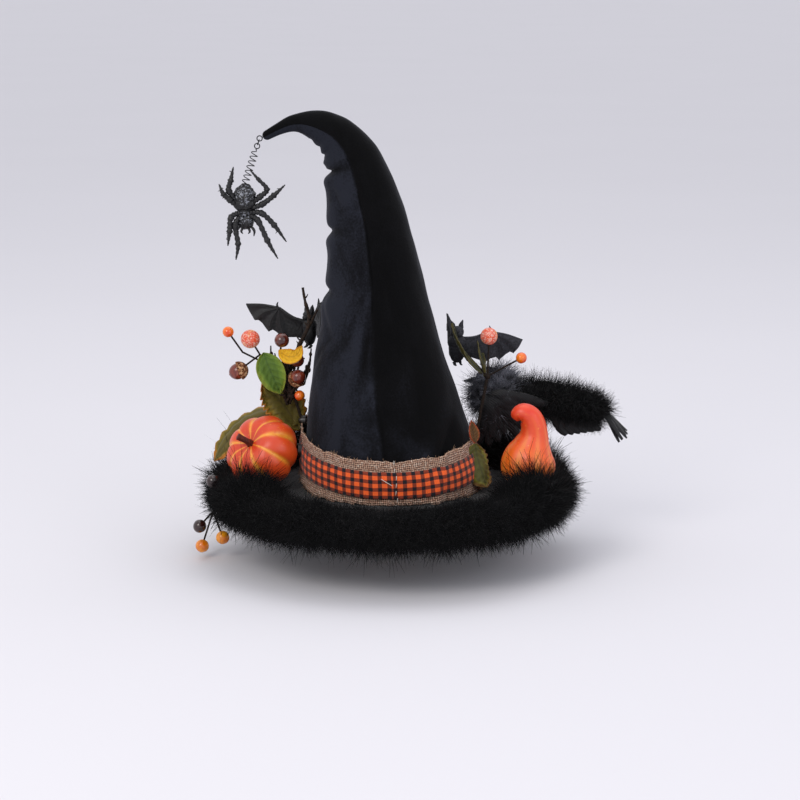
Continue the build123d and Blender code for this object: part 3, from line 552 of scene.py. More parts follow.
# ------------------------------------------------------------------ mesh tools
def join_piece(name, bm, body, material, replaces=(), recalc=True):
    """Makes a finished piece of a bmesh: cleaned, shaded, riding on a body and standing for CAD nodes."""
    bmesh.ops.remove_doubles(bm, verts=bm.verts, dist=1e-7)
    if recalc:
        bmesh.ops.recalc_face_normals(bm, faces=bm.faces)
    mesh = bpy.data.meshes.new(name)
    bm.to_mesh(mesh)
    bm.free()
    mesh.materials.append(material)
    mesh.shade_smooth()
    thing = bpy.data.objects.new(name, mesh)
    bpy.context.collection.objects.link(thing)
    if body:
        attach(thing, body)
    if replaces:
        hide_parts(*replaces)
    return thing


def thicken(thing, thickness):
    """Gives a sheet its thickness, half to each side."""
    wall = thing.modifiers.new("thickness", "SOLIDIFY")
    wall.thickness, wall.offset = thickness, 0


def grow_ring(bm, edges):
    """Extrudes a ring of edges; gives the new ring's vertices and edges."""
    grown = bmesh.ops.extrude_edge_only(bm, edges=edges)["geom"]
    ring = [g for g in grown if isinstance(g, bmesh.types.BMVert)]
    kept = set(ring)
    new_edges = [g for g in grown if isinstance(g, bmesh.types.BMEdge)]
    return ring, [e for e in new_edges if e.verts[0] in kept and e.verts[1] in kept]


def middle_of(ring):
    return sum((vert.co for vert in ring), Vector()) / len(ring)


def rings_along(bm, frames, sides, open_ends=False):
    """A tube: a circle at the first frame, extruded to each next one; a frame's scale is its radius."""
    made = bmesh.ops.create_circle(bm, segments=sides, radius=1.0, cap_ends=not open_ends, matrix=frames[0])
    ring = made["verts"]
    edges = [e for e in bm.edges if e.verts[0] in ring and e.verts[1] in ring]
    rings = [ring]
    for before, after in zip(frames, frames[1:]):
        ring, edges = grow_ring(bm, edges)
        bmesh.ops.transform(bm, matrix=after @ before.inverted(), verts=ring)
        rings.append(ring)
    if not open_ends:
        bmesh.ops.contextual_create(bm, geom=edges)
    return rings


def steady_frames(points, radii):
    """One frame for each point of a path, turned as little as possible from one to the next."""
    points = [Vector(p) for p in points]
    ways = []
    for i in range(len(points)):
        ways.append((points[min(i + 1, len(points) - 1)] - points[max(i - 1, 0)]).normalized())
    x = ways[0].orthogonal().normalized()
    frames = []
    for point, way, radius in zip(points, ways, radii):
        x = (x - way * x.dot(way)).normalized()
        frames.append(basis(point, x, way.cross(x), way) @ Matrix.Diagonal((radius, radius, radius, 1)))
    return frames


def smooth_path(points, steps):
    """Points on a Catmull-Rom curve through the given ones."""
    table = [(i, *p) for i, p in enumerate(points)]
    count = (len(points) - 1) * steps
    return [along(table, i / steps) for i in range(count + 1)]


def cane(bm, points, radii, sides=8, steps=4):
    """A round, smoothly bent rod through the points; radii has one value for each point, or one for all."""
    if not hasattr(radii, "__len__"):
        radii = [radii] * len(points)
    path = smooth_path([(*p, r) for p, r in zip(points, radii)], steps)
    return rings_along(bm, steady_frames([p[:3] for p in path], [p[3] for p in path]), sides)


def ball(bm, centre, radius, stretch=(1, 1, 1), turn=None, detail=16):
    """A round body; stretch is along its own axes before turn."""
    matrix = Matrix.Translation(centre) @ (turn or Matrix.Identity(4)) @ Matrix.Diagonal((*stretch, 1))
    rings = detail // 2 + 2
    made = bmesh.ops.create_uvsphere(bm, u_segments=detail, v_segments=rings, radius=radius, matrix=matrix)
    return made["verts"]


def on_line(line, share):
    """The place at a share of the way along a line of points, and the way the line runs there."""
    at = share * (len(line) - 1)
    i = min(int(at), len(line) - 2)
    way = (line[min(i + 2, len(line) - 1)] - line[max(i - 1, 0)]).normalized()
    return line[i].lerp(line[i + 1], at - i), way


def add_shell(bm, skin, thickness):
    """Thickens an open skin and adds it to a piece in the making."""
    bmesh.ops.recalc_face_normals(skin, faces=skin.faces)
    bmesh.ops.solidify(skin, geom=skin.faces, thickness=thickness)
    mesh = bpy.data.meshes.new("shell")
    skin.to_mesh(mesh)
    skin.free()
    bm.from_mesh(mesh)
    bpy.data.meshes.remove(mesh)


# ------------------------------------------------------------------ velvet cone
# centre x, centre height, radius, in millimetres, from the brim to the tip
CONE = [
    (0, 4.6, 75.6), (-0.8, 28, 74.0), (-4.0, 55, 69.6), (-7.6, 85, 63.4), (-10.0, 112, 57.0), (-11.4, 146,
                                                                                               48.9),
    (-12.4, 161, 45.9), (-13.4, 182, 41.4), (-16.0, 203, 38.4), (-19.4, 232, 34.0), (-22.6, 247, 31.6),
    (-26.8, 266.6, 28.3), (-30.6, 281, 25.0), (-34.84, 290.7, 22.6), (-41, 300.5, 19.6), (-49, 308, 16.8),
    (-61, 314.2, 13.5), (-73, 317, 9.6), (-83, 316.4, 6.9), (-94, 312, 5.0), (-104, 306.8, 4.1),
]
KNUCKLE_ROW = 13                # the row of CONE where the tip bends
SEAMS = (86.5, 266.5)           # the cone's two seams, in degrees from the inside of the bend
cone_table, reached = [], 0.0
for before, here in zip([CONE[0]] + CONE, CONE):
    reached += math.hypot(here[0] - before[0], here[1] - before[1]) * MM
    cone_table.append((reached, *(value * MM for value in here)))
CONE_LENGTH = reached


def cone_at(t):
    """Centre, radius, and the ways inward of the bend, toward the join and along the cone, at length t."""
    x, z, radius = along(cone_table, t)
    x1, z1, _ = along(cone_table, min(t + 0.003, CONE_LENGTH))
    x0, z0, _ = along(cone_table, max(t - 0.003, 0))
    way = Vector((x1 - x0, 0, z1 - z0)).normalized()
    return Vector((x, 0, z)), radius, Vector((-way.z, 0, way.x)), Vector((0, -1, 0)), way


def length_at(height):
    """How far along the cone its centre line reaches a height in millimetres, below the bend."""
    for (t0, _, z0, _), (t1, _, z1, _) in zip(cone_table, cone_table[1:]):
        if z0 <= height * MM <= z1:
            return t0 + (t1 - t0) * (height * MM - z0) / (z1 - z0)
    return cone_table[KNUCKLE_ROW][0]


# Folds in the cloth: height or length, angle from the inside of the bend, half length along the cone,
# half width round it in degrees, depth (minus is a valley), slant in degrees per millimetre.
FOLDS = [
    (length_at(231), 0, 5.2, 42, -4.0, 0.3), (length_at(244), 4, 9.0, 40, 1.6, 0.2),
    (length_at(221), 2, 8.0, 34, 1.8, 0.1), (length_at(177), 0, 5.6, 34, -3.8, -0.5),
    (length_at(189), 4, 10.0, 30, 1.6, 0.0), (length_at(165), 6, 10.0, 30, 1.8, 0.0),
    (length_at(284), 4, 3.4, 62, -5.0, 0.8), (length_at(275), 8, 7.0, 45, 2.4, 0.4),
    (length_at(258), 46, 13.0, 8, -0.9, -0.7), (length_at(262), 58, 14.0, 8, 0.8, -0.7),
    (length_at(205), 40, 22.0, 9, -0.8, 0.3), (length_at(150), 30, 20.0, 9, -1.6, -0.9),
    (length_at(140), 44, 22.0, 10, 1.2, -0.8), (length_at(120), 16, 16.0, 8, -1.4, 0.9),
    (length_at(78), 68, 30.0, 12, 0.8, 0.1), (length_at(128), 78, 30.0, 3.0, -1.5, 0.16),
    (length_at(132), 72, 30.0, 5.0, 1.0, 0.16), (length_at(48), 122, 26.0, 6.0, 2.0, 0.62),
    (length_at(40), 132, 24.0, 5.0, -2.2, 0.62), (length_at(60), 150, 20.0, 9, 1.2, -0.3),
    (length_at(30), 60, 14.0, 9, 1.0, 0.5), (length_at(95), 205, 26.0, 9, -1.6, 0.5),
    (length_at(150), 240, 30.0, 10, -1.4, -0.3), (length_at(60), 262, 20.0, 10, 1.5, 0.3),
    (length_at(205), 300, 22.0, 9, -1.4, 0.6), (length_at(240), 330, 16.0, 12, -1.6, -0.5),
    (length_at(180), 330, 10.0, 24, 1.4, 0.2),
]
# Small gathers on the underside of the bent tip: length past the knuckle, half width, depth.
GATHERS = [(5, 3.0, 1.6), (14, 2.2, -1.3), (20, 3.0, 0.9), (26, 2.0, -1.0), (32, 2.6, 0.5), (38, 2.0, -0.7)]
knuckle_length = cone_table[KNUCKLE_ROW][0]


def cloth_relief(t, degrees, centre):
    """How far the velvet stands out from the plain cone there, in metres."""
    depth = 0.0
    for at, angle, reach, width, height, slant in FOLDS:
        offset = (t - at) / MM
        if abs(offset) > 3 * reach:
            continue
        turn = (degrees - angle - slant * offset + 180) % 360 - 180
        depth += height * hill(offset, reach) * hill(turn, width)
    inner = (degrees + 180) % 360 - 180
    for past, width, height in GATHERS:
        offset = (t - knuckle_length) / MM - past - 0.04 * abs(inner) * math.sin(past)
        depth += height * hill(offset, width) * hill(inner - 8 * math.sin(past), 48)
    fade = ease((CONE_LENGTH - t) / 0.03)
    depth += 0.55 * fade * rough(centre.x, centre.y, centre.z, 0.022, 3.1)
    depth += 0.35 * fade * rough(centre.x, centre.y, centre.z * 0.5, 0.011, 7.7)
    for seam in SEAMS:
        turn = (degrees - seam - 2.0 * math.sin(t * 38) + 180) % 360 - 180
        depth -= fade * 1.0 * hill(turn, 0.9) - fade * 0.35 * hill(abs(turn) - 2.6, 1.6)
    return depth * MM


def painted_sheen(t, degrees, relief):
    """Painted sheen, 0 black to 1 slate grey: high except on the shaded right front; raised on a front patch,
    fold ridges and the bent tip.
    """
    from_seam = degrees - SEAMS[0]
    past_seam = ease((abs((from_seam + 180) % 360 - 180) < 95) * (from_seam / 3 + 0.5))
    patch = hill(degrees - 104 - 0.45 * (length_at(50) - t) / MM, 12)
    patch *= hill((t - length_at(42)) / MM, 30)
    bent_tip = 0.3 * (t > knuckle_length) * (1 - past_seam)
    return clamp(0.80 - 0.72 * past_seam + 0.50 * patch + 0.16 * relief / MM + bent_tip)


def velvet_cone():
    """The velvet from the brim to the closed tip: one sewn skin, padded from inside."""
    bm = bmesh.new()
    lean = bm.verts.layers.float.new("lean")
    count, sides = 250, 200
    frames, facts = [], []
    for i in range(count + 1):
        t = CONE_LENGTH * i / count
        centre, radius, inner, front, way = cone_at(t)
        frames.append(basis(centre, inner, front, way) @ Matrix.Diagonal((radius, radius, radius, 1)))
        facts.append((t, centre, radius, inner, front))
    rings = rings_along(bm, frames, sides, open_ends=True)
    for ring, (t, centre, radius, inner, front) in zip(rings, facts):
        for vert in ring:
            arm = vert.co - centre
            degrees = math.degrees(math.atan2(arm.dot(front), arm.dot(inner)))
            relief = cloth_relief(t, degrees, vert.co)
            vert.co += arm.normalized() * relief
            # painted sheen for the velvet's colour, kept in the lean layer
            vert[lean] = painted_sheen(t, degrees, relief)
    centre, radius, inner, front, way = cone_at(CONE_LENGTH)
    edges = [e for e in bm.edges if e.is_boundary and e.verts[0] in set(rings[-1])]
    for step in range(1, 6):
        turn = step / 6 * math.pi / 2
        ring, edges = grow_ring(bm, edges)
        before = math.cos((step - 1) / 6 * math.pi / 2)
        shrink = math.cos(turn) / before
        lift = radius * (math.sin(turn) - math.sin((step - 1) / 6 * math.pi / 2))
        here = centre + way * radius * math.sin(turn)
        bmesh.ops.translate(bm, verts=ring, vec=way * lift)
        bmesh.ops.scale(bm, verts=ring, vec=(shrink,) * 3, space=Matrix.Translation(-here))
    bmesh.ops.contextual_create(bm, geom=edges)
    stands_for = ("crown_velvet", "tip_velvet", "crown_stuffing", "tip_stuffing")
    skin = join_piece("velvet_cone", bm, None, VELVET, stands_for)
    knuckle, _, _, _, way = cone_at(knuckle_length)
    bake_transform(skin)


velvet_cone()


def cone_skin(degrees, height, out=0.0):
    """A point out from the cone's skin, and its way out; degrees are 0 at +X and 90 at +Y."""
    t = length_at(height / MM)
    centre, radius, _, _, _ = cone_at(t)
    a = math.radians(degrees)
    way = Vector((math.cos(a), math.sin(a), 0))
    return Vector((centre.x, 0, height)) + way * (radius + out), way


# ------------------------------------------------------------------ lining, brim and sweatband
def stiff_lining():
    """The buckram cup inside the cone, with its closing disc: what is seen from below."""
    bm = bmesh.new()
    frames = []
    for i in range(24):
        centre, radius, inner, front, way = cone_at(length_at(5 + i * 145 / 23))
        size = radius - 3.1 * MM - (0.5 * MM if i in (0, 23) else 0)
        frames.append(basis(centre, inner, front, way) @ Matrix.Diagonal((size, size, size, 1)))
    rings = rings_along(bm, frames, 96, open_ends=True)
    for ring in rings:
        for vert in ring:
            vert.co += Vector((vert.co.x, vert.co.y, 0)).normalized() * 0.0005 * rough(*vert.co, 0.014, 1.2)
    cap = [e for e in bm.edges if e.is_boundary and e.verts[0] in set(rings[-1])]
    for shrink in (0.97, 0.6, 0.25):
        ring, cap = grow_ring(bm, cap)
        bmesh.ops.scale(bm, verts=ring, vec=(shrink,) * 3, space=Matrix.Translation(-middle_of(ring)))
    bmesh.ops.contextual_create(bm, geom=cap)
    join_piece("buckram_lining", bm, "crown", FELT, ("crown_lining", "crown_plug"))


stiff_lining()

BRIM_OUT, BRIM_IN, BRIM_TOP = 0.1352, 0.0716, 4.4 * MM
STITCH_DEPTH = 0.35 * MM


def spin_round(bm, profile, steps):
    """Spins a closed profile of (radius, height) points round the hat."""
    verts = [bm.verts.new((r, 0, z)) for r, z in profile]
    edges = [bm.edges.new((a, b)) for a, b in zip(verts, verts[1:] + verts[:1])]
    turn = {"cent": (0, 0, 0), "axis": (0, 0, 1), "angle": FULL_TURN}
    bmesh.ops.spin(bm, geom=verts + edges, steps=steps, use_merge=True, **turn)


def felt_brim():
    """The sewn brim: felt over card, with rows of topstitching pressed into both faces."""
    rows = 46
    radii = [BRIM_IN + (BRIM_OUT - BRIM_IN) * i / rows for i in range(rows + 1)]
    dents = [STITCH_DEPTH if i % 6 == 3 else 0.0 for i in range(rows + 1)]
    profile = [(r, BRIM_TOP - dent) for r, dent in zip(radii, dents)]
    profile.append((BRIM_OUT + 0.7 * MM, BRIM_TOP / 2))
    profile += list(zip(radii, dents))[::-1]
    bm = bmesh.new()
    spin_round(bm, profile, 180)
    for vert in bm.verts:
        vert.co.z += 0.00025 * rough(*vert.co, 0.02, 5.0)
    join_piece("felt_brim", bm, "crown", FELT, ("brim_top_cover", "brim_bottom_cover"))


felt_brim()


def strip(name, node, cells, place, material, cut, thickness):
    """A strip of cloth that stands for a node: a grid, with a UV in metres, laid where place(u, v) says."""
    columns, rows = cells
    width, length = cut
    bm = bmesh.new()
    bmesh.ops.create_grid(bm, x_segments=columns, y_segments=rows, size=0.5)
    layer = bm.loops.layers.uv.new("cloth")
    for face in bm.faces:
        for loop in face.loops:
            loop[layer].uv = ((loop.vert.co.x + 0.5) * length, (loop.vert.co.y + 0.5) * width)
    for vert in bm.verts:
        vert.co = place(vert.co.x + 0.5, vert.co.y + 0.5)
    cloth = join_piece(name, bm, "crown", material, (node,), recalc=False)
    thicken(cloth, thickness)


SWEATBAND_WIDTH, SWEATBAND_RADIUS = 0.0243, 0.0705


def sweatband_place(u, v):
    a = u * FULL_TURN
    r = SWEATBAND_RADIUS + 0.0003 * rough(math.cos(a), math.sin(a), v, 0.3, 2)
    return Vector((r * math.cos(a), r * math.sin(a), 0.0005 + v * SWEATBAND_WIDTH))


SWEATBAND_CUT = (SWEATBAND_WIDTH, FULL_TURN * SWEATBAND_RADIUS)
strip("ribbed_sweatband", "sweatband", (180, 10), sweatband_place, RIBBED, SWEATBAND_CUT, 0.9 * MM)


# ------------------------------------------------------------------ feather boa
BOA_RING, BOA_LIFT, BOA_CORE = 0.1385, 0.0022, 0.0135
BOA_PARTS, PLUMES_IN_PART = 6, 2600
LONGEST_PLUME_REACH = corners("feather_boa")[1].y + 0.0135      # from the hat's axis to a plume's end
PUMPKIN, GOURD = corners("mini_pumpkin"), corners("gourd")


def boa_point(turn, round_it, out=0.0):
    """A point on the boa's core, its way out of the core, and the way along the ring."""
    lump = 0.0028 * rough(math.cos(turn), math.sin(turn), 0, 0.28, 4.0)
    arm = Vector((math.cos(turn), math.sin(turn), 0))
    way = arm * math.cos(round_it) + Vector((0, 0, math.sin(round_it)))
    ring = BOA_RING + 0.003 * rough(math.sin(turn), math.cos(turn), 1, 0.35, 9)
    centre = arm * ring + Vector((0, 0, BOA_LIFT + lump))
    return centre + way * (BOA_CORE + lump + out), way, Vector((-arm.y, arm.x, 0))


def boa_core():
    """The dense middle of the boa, a lumpy ring that the plumes grow from."""
    bm = bmesh.new()
    frames = []
    for i in range(181):
        a = FULL_TURN * i / 180
        arm = Vector((math.cos(a), math.sin(a), 0))
        centre = arm * BOA_RING + Vector((0, 0, BOA_LIFT))
        frame = basis(centre, arm, Vector((0, 0, 1)), Vector((arm.y, -arm.x, 0)))
        frames.append(frame @ Matrix.Diagonal((BOA_CORE,) * 3 + (1,)))
    rings_along(bm, frames, 28, open_ends=True)
    bmesh.ops.remove_doubles(bm, verts=bm.verts, dist=1e-5)
    for vert in bm.verts:
        vert.co.z += 0.0016 * rough(*vert.co, 0.016, 2)
        vert.co += Vector((vert.co.x, vert.co.y, 0)).normalized() * 0.002 * rough(*vert.co, 0.02, 8)
    join_piece("boa_core", bm, "crown", DOWN, ("feather_boa",))


def tuft_mesh(name, seed, barbs=11, bend=0.55, spread=0.55):
    """One plume: thin tapering barbs that spread from a point and bend over; 1 long, along Z."""
    pick = random.Random(seed)
    bm = bmesh.new()
    for i in range(barbs):
        lean = spread * math.sqrt((i + 0.3) / barbs) * pick.uniform(0.6, 1.25)
        side = FULL_TURN * (i * 0.382 + pick.random() * 0.1)
        reach = pick.uniform(0.62, 1.0)
        width = pick.uniform(0.016, 0.028)
        curl = bend * pick.uniform(0.3, 1.2)
        bmesh.ops.create_grid(bm, x_segments=1, y_segments=3, size=0.5)
        fresh = [v for v in bm.verts if not v.tag]
        turn = Matrix.Rotation(side, 3, "Z")
        for vert in fresh:
            vert.tag = True
            s = vert.co.y + 0.5
            tilt = lean + curl * s
            across = vert.co.x * width * (1 - 0.8 * s)
            vert.co = turn @ Vector((math.sin(tilt) * s * reach, across, math.cos(tilt) * s * reach))
    mesh = bpy.data.meshes.new(name)
    bm.to_mesh(mesh)
    bm.free()
    return mesh


TUFTS = [tuft_mesh(f"tuft_{i}", i) for i in range(6)]


def plumes(name, places, material):
    """Sets a plume at each (point, way, up, length) and joins them into one piece."""
    bm = bmesh.new()
    for i, (point, way, up, length) in enumerate(places):
        plume = TUFTS[i % len(TUFTS)].copy()
        plume.transform(facing(point, way, up) @ Matrix.Scale(length, 4))
        bm.from_mesh(plume)
        bpy.data.meshes.remove(plume)
    join_piece(name, bm, "crown", material, recalc=False)


def clear_of_trims(point):
    """False where a plume would grow through the pumpkin, the gourd or the cone."""
    for low, high in (PUMPKIN, GOURD):
        middle, half = (low + high) / 2, (high - low) / 2
        away = Vector([(point[k] - middle[k]) / half[k] for k in range(3)])
        if away.length < 0.98:
            return False
    return math.hypot(point.x, point.y) > 0.079 or point.z < 0.0


def boa_plumes(part):
    """One stretch of the boa: plumes all round its core, shorter where they stand before the band."""
    pick = random.Random(40 + part)
    places = []
    while len(places) < PLUMES_IN_PART:
        turn = FULL_TURN * (part + pick.random()) / BOA_PARTS
        round_it = pick.uniform(-math.pi, math.pi)
        if round_it < -2.0 and pick.random() < 0.75:
            continue
        point, way, along_ring = boa_point(turn, round_it, -0.003)
        gust = rough(math.cos(turn) * 2, math.sin(turn) * 2, round_it * 0.3, 0.3, 6)
        swirl = along_ring * (0.9 * gust + pick.gauss(0, 0.5))
        stray = Vector([pick.gauss(0, 0.28) for _ in range(3)])
        lay = (way + swirl + Vector((0, 0, -0.18)) + stray).normalized()
        length = pick.uniform(0.013, 0.023) * (1.4 if pick.random() < 0.08 else 1.0) * (1 + 0.30 * gust)
        before_band = ease((-point.y - 0.075) / 0.03)
        if round_it > 1.3:
            inward = Vector((-point.x, -point.y, 0)).normalized()
            lay = (lay + inward * 0.55 * (1 - before_band)).normalized()
            length *= 1.5 - 0.75 * before_band
        elif round_it < -2.0:
            length *= 0.6
        if round_it > 0.5:
            length *= 1 - 0.15 * before_band
        end = point + lay * length
        if math.hypot(end.x, end.y) > LONGEST_PLUME_REACH:
            continue
        if clear_of_trims(end) and clear_of_trims(point + lay * length * 0.5):
            places.append((point, lay, way.cross(lay) + Vector((0, 0, 0.01)), length))
    plumes(f"boa_plumes_{part}", places, DOWN)


boa_core()
for part in range(BOA_PARTS):
    boa_plumes(part)


# ------------------------------------------------------------------ band: burlap and gingham
JOIN_DEGREES = -88.0
BURLAP_WIDTH, BURLAP_LENGTH = 0.0415, 0.470
GINGHAM_WIDTH, GINGHAM_LENGTH = 0.0225, 0.476


def band_height(x, y):
    """Where the middle of the gingham runs: the band climbs toward the far side of the hat."""
    return (22 + (y / MM + 75) / 75 * (12 - 3 * x / MM / 75)) * MM


def band_point(u, up, out):
    """A point on the band: u is the share of the way round from the join, up is metres above the middle."""
    degrees = JOIN_DEGREES + 360 * u
    a = math.radians(degrees)
    height = band_height(0.075 * math.cos(a), 0.075 * math.sin(a))
    point, way = cone_skin(degrees, max(height + up, 0.0045), out)
    return Vector((point.x, point.y, height + up)), way


def burlap_place(u, v):
    a = u * FULL_TURN
    edge = abs(v - 0.5) * 2
    wave = 0.0022 * rough(math.cos(a), math.sin(a), v * 0.1, 0.22, 3)
    wave += 0.0009 * rough(math.cos(a), math.sin(a), 0, 0.06, 9)
    lifted_corner = 0.0024 * (v > 0.5) * hill((u - 0.17) * 360, 9) * edge
    up = -0.0215 + BURLAP_WIDTH * v + wave * (2 * v - 1) * edge + lifted_corner
    crease = 0.0016 * rough(math.cos(a), math.sin(a), v * 0.12, 0.11, 5) * (0.4 + edge)
    crease += 0.0030 * hill((u - 0.085) * 360 - 9 * (v - 0.5), 4.0) * (0.4 + 0.6 * edge)
    point, _ = band_point(u, up, 0.0023 + max(crease, -0.0012) + 0.0012 * ease(edge * 2 - 1))
    return point


def gingham_place(u, v):
    a = u * FULL_TURN
    up = -0.0112 + GINGHAM_WIDTH * v + 0.0009 * rough(math.cos(a), math.sin(a), 0, 0.2, 7)
    edge = abs(v - 0.5) * 2
    pleat = 0.0005 * rough(math.cos(a), math.sin(a), v * 0.2, 0.09, 11)
    pleat += 0.0022 * hill((u - 0.085) * 360 - 9 * (v - 0.5), 4.4)
    point, _ = band_point(u, up, 0.0047 + pleat - 0.0006 * edge * edge)
    return point


BURLAP_CUT, GINGHAM_CUT = (BURLAP_WIDTH, BURLAP_LENGTH), (GINGHAM_WIDTH, GINGHAM_LENGTH)
strip("burlap_band_cloth", "burlap_band", (420, 26), burlap_place, BURLAP, BURLAP_CUT, 0.9 * MM)
strip("gingham_ribbon_cloth", "gingham_ribbon", (420, 16), gingham_place, GINGHAM, GINGHAM_CUT, 0.6 * MM)


def frayed_yarns():
    """Loose jute ends along both cut edges of the burlap."""
    pick = random.Random(12)
    bm = bmesh.new()
    for _ in range(620):
        u, top = pick.random(), pick.random() < 0.5
        root = burlap_place(u, 0.97 if top else 0.03)
        _, out = band_point(u, 0, 0)
        stray = Vector([pick.gauss(0, 0.35) for _ in range(3)])
        way = (Vector((0, 0, 1 if top else -1)) + stray + out * 0.45).normalized()
        side = Vector([pick.gauss(0, 0.4) for _ in range(3)])
        reach = pick.uniform(0.0012, 0.0042)
        path = [root - way * 0.001, root + way * reach * 0.5, root + (way + side * 0.5) * reach]
        cane(bm, path, [0.00020, 0.00017, 0.00008], 4, 2)
    join_piece("burlap_frayed_ends", bm, "crown", BURLAP_YARN)


def band_sewing():
    """White thread at the ribbon's join, and the dark hand stitches that hold the ribbon down."""
    white, dark = bmesh.new(), bmesh.new()
    for i in range(7):
        u, up = 0.004 + 0.0012 * math.sin(i * 2.1), -0.0195 + i * 0.0062
        low, _ = band_point(u, up, 0.0056)
        high, _ = band_point(u + 0.0012, up + 0.0034, 0.0057)
        middle, _ = band_point(u + 0.0006, up + 0.0017, 0.0061)
        cane(white, [low, middle, high], 0.00028, 6, 3)
    slanted = [band_point(-0.020 + 0.0036 * k, 0.0062 - 0.0011 * k, 0.0058)[0] for k in range(6)]
    cane(white, slanted, 0.00026, 6, 3)
    for i in range(22):
        u = (i + 0.5) / 22
        for up in (-0.0088, 0.0088):
            low, _ = band_point(u - 0.002, up, 0.0052)
            middle, _ = band_point(u, up, 0.0056)
            high, _ = band_point(u + 0.002, up, 0.0052)
            cane(dark, [low, middle, high], 0.00024, 6, 2)
    join_piece("join_stitches", white, "crown", WHITE_THREAD, ("band_stitches",))
    join_piece("ribbon_stitches", dark, "crown", BLACK_THREAD)


frayed_yarns()
band_sewing()


# ------------------------------------------------------------------ pumpkin and gourd
def lumps(node):
    """The separate solids of a CAD node, as (centre, size), in metres."""
    bm = bmesh.new()
    bm.from_mesh(bpy.data.objects[node].data)
    bmesh.ops.remove_doubles(bm, verts=bm.verts, dist=1e-6)
    found = []
    for vert in bm.verts:
        if vert.tag:
            continue
        vert.tag, queue, island = True, [vert], []
        while queue:
            here = queue.pop()
            island.append(here.co.copy())
            for edge in here.link_edges:
                other = edge.other_vert(here)
                if not other.tag:
                    other.tag = True
                    queue.append(other)
        low = Vector([min(p[k] for p in island) for k in range(3)])
        high = Vector([max(p[k] for p in island) for k in range(3)])
        found.append(((low + high) / 2, high - low))
    bm.free()
    return found


PUMPKIN_AXIS = Vector((-0.52, -0.64, 0.56)).normalized()


def pumpkin():
    """A ribbed mini pumpkin lying on its side: its stalk looks out and up."""
    low, high = PUMPKIN
    centre, across = (low + high) / 2, (high.x - low.x) / 2
    bm = bmesh.new()
    rise, stripe = bm.verts.layers.float.new("rise"), bm.verts.layers.float.new("stripe")
    bmesh.ops.create_uvsphere(bm, u_segments=180, v_segments=72, radius=1.0)
    for vert in bm.verts:
        up = math.asin(clamp(vert.co.z, -1, 1))
        a = math.atan2(vert.co.y, vert.co.x)
        rib = a * 9 / FULL_TURN + 0.05 * math.sin(2 * a + 1)
        groove = abs(math.cos(math.pi * rib))
        swell = 1 - 0.13 * (1 - groove ** 0.55) * math.cos(up) ** 0.5
        pinch = 0.26 * hill(math.cos(up), 0.42)
        wobble = 1 + 0.02 * rough(*vert.co, 0.8, 3)
        flat = math.cos(up) * swell * wobble
        vert[rise] = 0.5 + 0.5 * vert.co.z
        brush = hill(math.acos(clamp(groove)) - math.pi / 2, 0.34 + 0.12 * math.sin(5 * a))
        vert[stripe] = brush * ease((vert.co.z + 0.45) / 0.5)
        vert.co = Vector((math.cos(a) * flat, math.sin(a) * flat, (0.80 - pinch) * math.sin(up) * wobble))
    bmesh.ops.transform(bm, matrix=facing(centre, PUMPKIN_AXIS) @ Matrix.Scale(across * 1.05, 4),
                        verts=bm.verts)
    join_piece("ribbed_pumpkin", bm, "crown", PUMPKIN_SKIN, ("mini_pumpkin",))
    bm = bmesh.new()
    foot = centre + PUMPKIN_AXIS * across * 0.46
    bend = foot + PUMPKIN_AXIS * 0.009
    tip = bend + Vector((-0.0075, -0.002, 0.0045))
    rings = cane(bm, [foot, foot + PUMPKIN_AXIS * 0.003, bend, tip], [0.0068, 0.0038, 0.0024, 0.0027], 30, 8)
    for ring in rings:
        middle = middle_of(ring)
        for i, vert in enumerate(ring):
            vert.co = middle + (vert.co - middle) * (1 + 0.16 * math.cos(i / len(ring) * 5 * FULL_TURN))
    join_piece("pumpkin_stalk", bm, "crown", STALK, ("mini_pumpkin_stem",))


def gourd():
    """A bottle gourd: fat ribbed foot, narrow neck, and a round end that hooks back toward the cone."""
    low, high = GOURD
    x, y, z = (low.x + high.x) / 2 + 0.001, (low.y + high.y) / 2, low.z
    spine = [
        (0.000, 0, 0.0005, 0.004), (0.000, 0, 0.0040, 0.0150), (0.000, 0, 0.0120, 0.0212), (0.000, 0, 0.0215,
                                                                                            0.0228),
        (0.0010, 0, 0.0310, 0.0208), (0.0030, 0, 0.0405, 0.0158), (0.0045, 0, 0.0490, 0.0122),
        (0.0040, 0, 0.0570, 0.0108), (0.0010, 0, 0.0640, 0.0100), (-0.0045, 0, 0.0676, 0.0090),
        (-0.0095, 0, 0.0660, 0.0070), (-0.0120, 0, 0.0625, 0.0030),
    ]
    path = smooth_path(spine, 7)
    reach = high.z - low.z
    points = [Vector((x + p[0], y + p[1], z + p[2] * reach / 0.074)) for p in path]
    bm = bmesh.new()
    rise, stripe = bm.verts.layers.float.new("rise"), bm.verts.layers.float.new("stripe")
    rings = rings_along(bm, steady_frames(points, [p[3] for p in path]), 96)
    for ring, point in zip(rings, points):
        level = clamp((point.z - z) / reach)
        for i, vert in enumerate(ring):
            rib = math.cos(i / len(ring) * 8 * FULL_TURN + 2 * level)
            swell = 1 + 0.022 * rib * hill(level - 0.25, 0.35) + 0.02 * rough(*vert.co, 0.02, 6)
            vert.co = point + (vert.co - point) * swell
            vert[rise] = level
            vert[stripe] = 0.55 * hill(rib + 1, 0.5) * hill(level - 0.3, 0.4)
    join_piece("bottle_gourd", bm, "crown", GOURD_SKIN, ("gourd",))


pumpkin()
gourd()

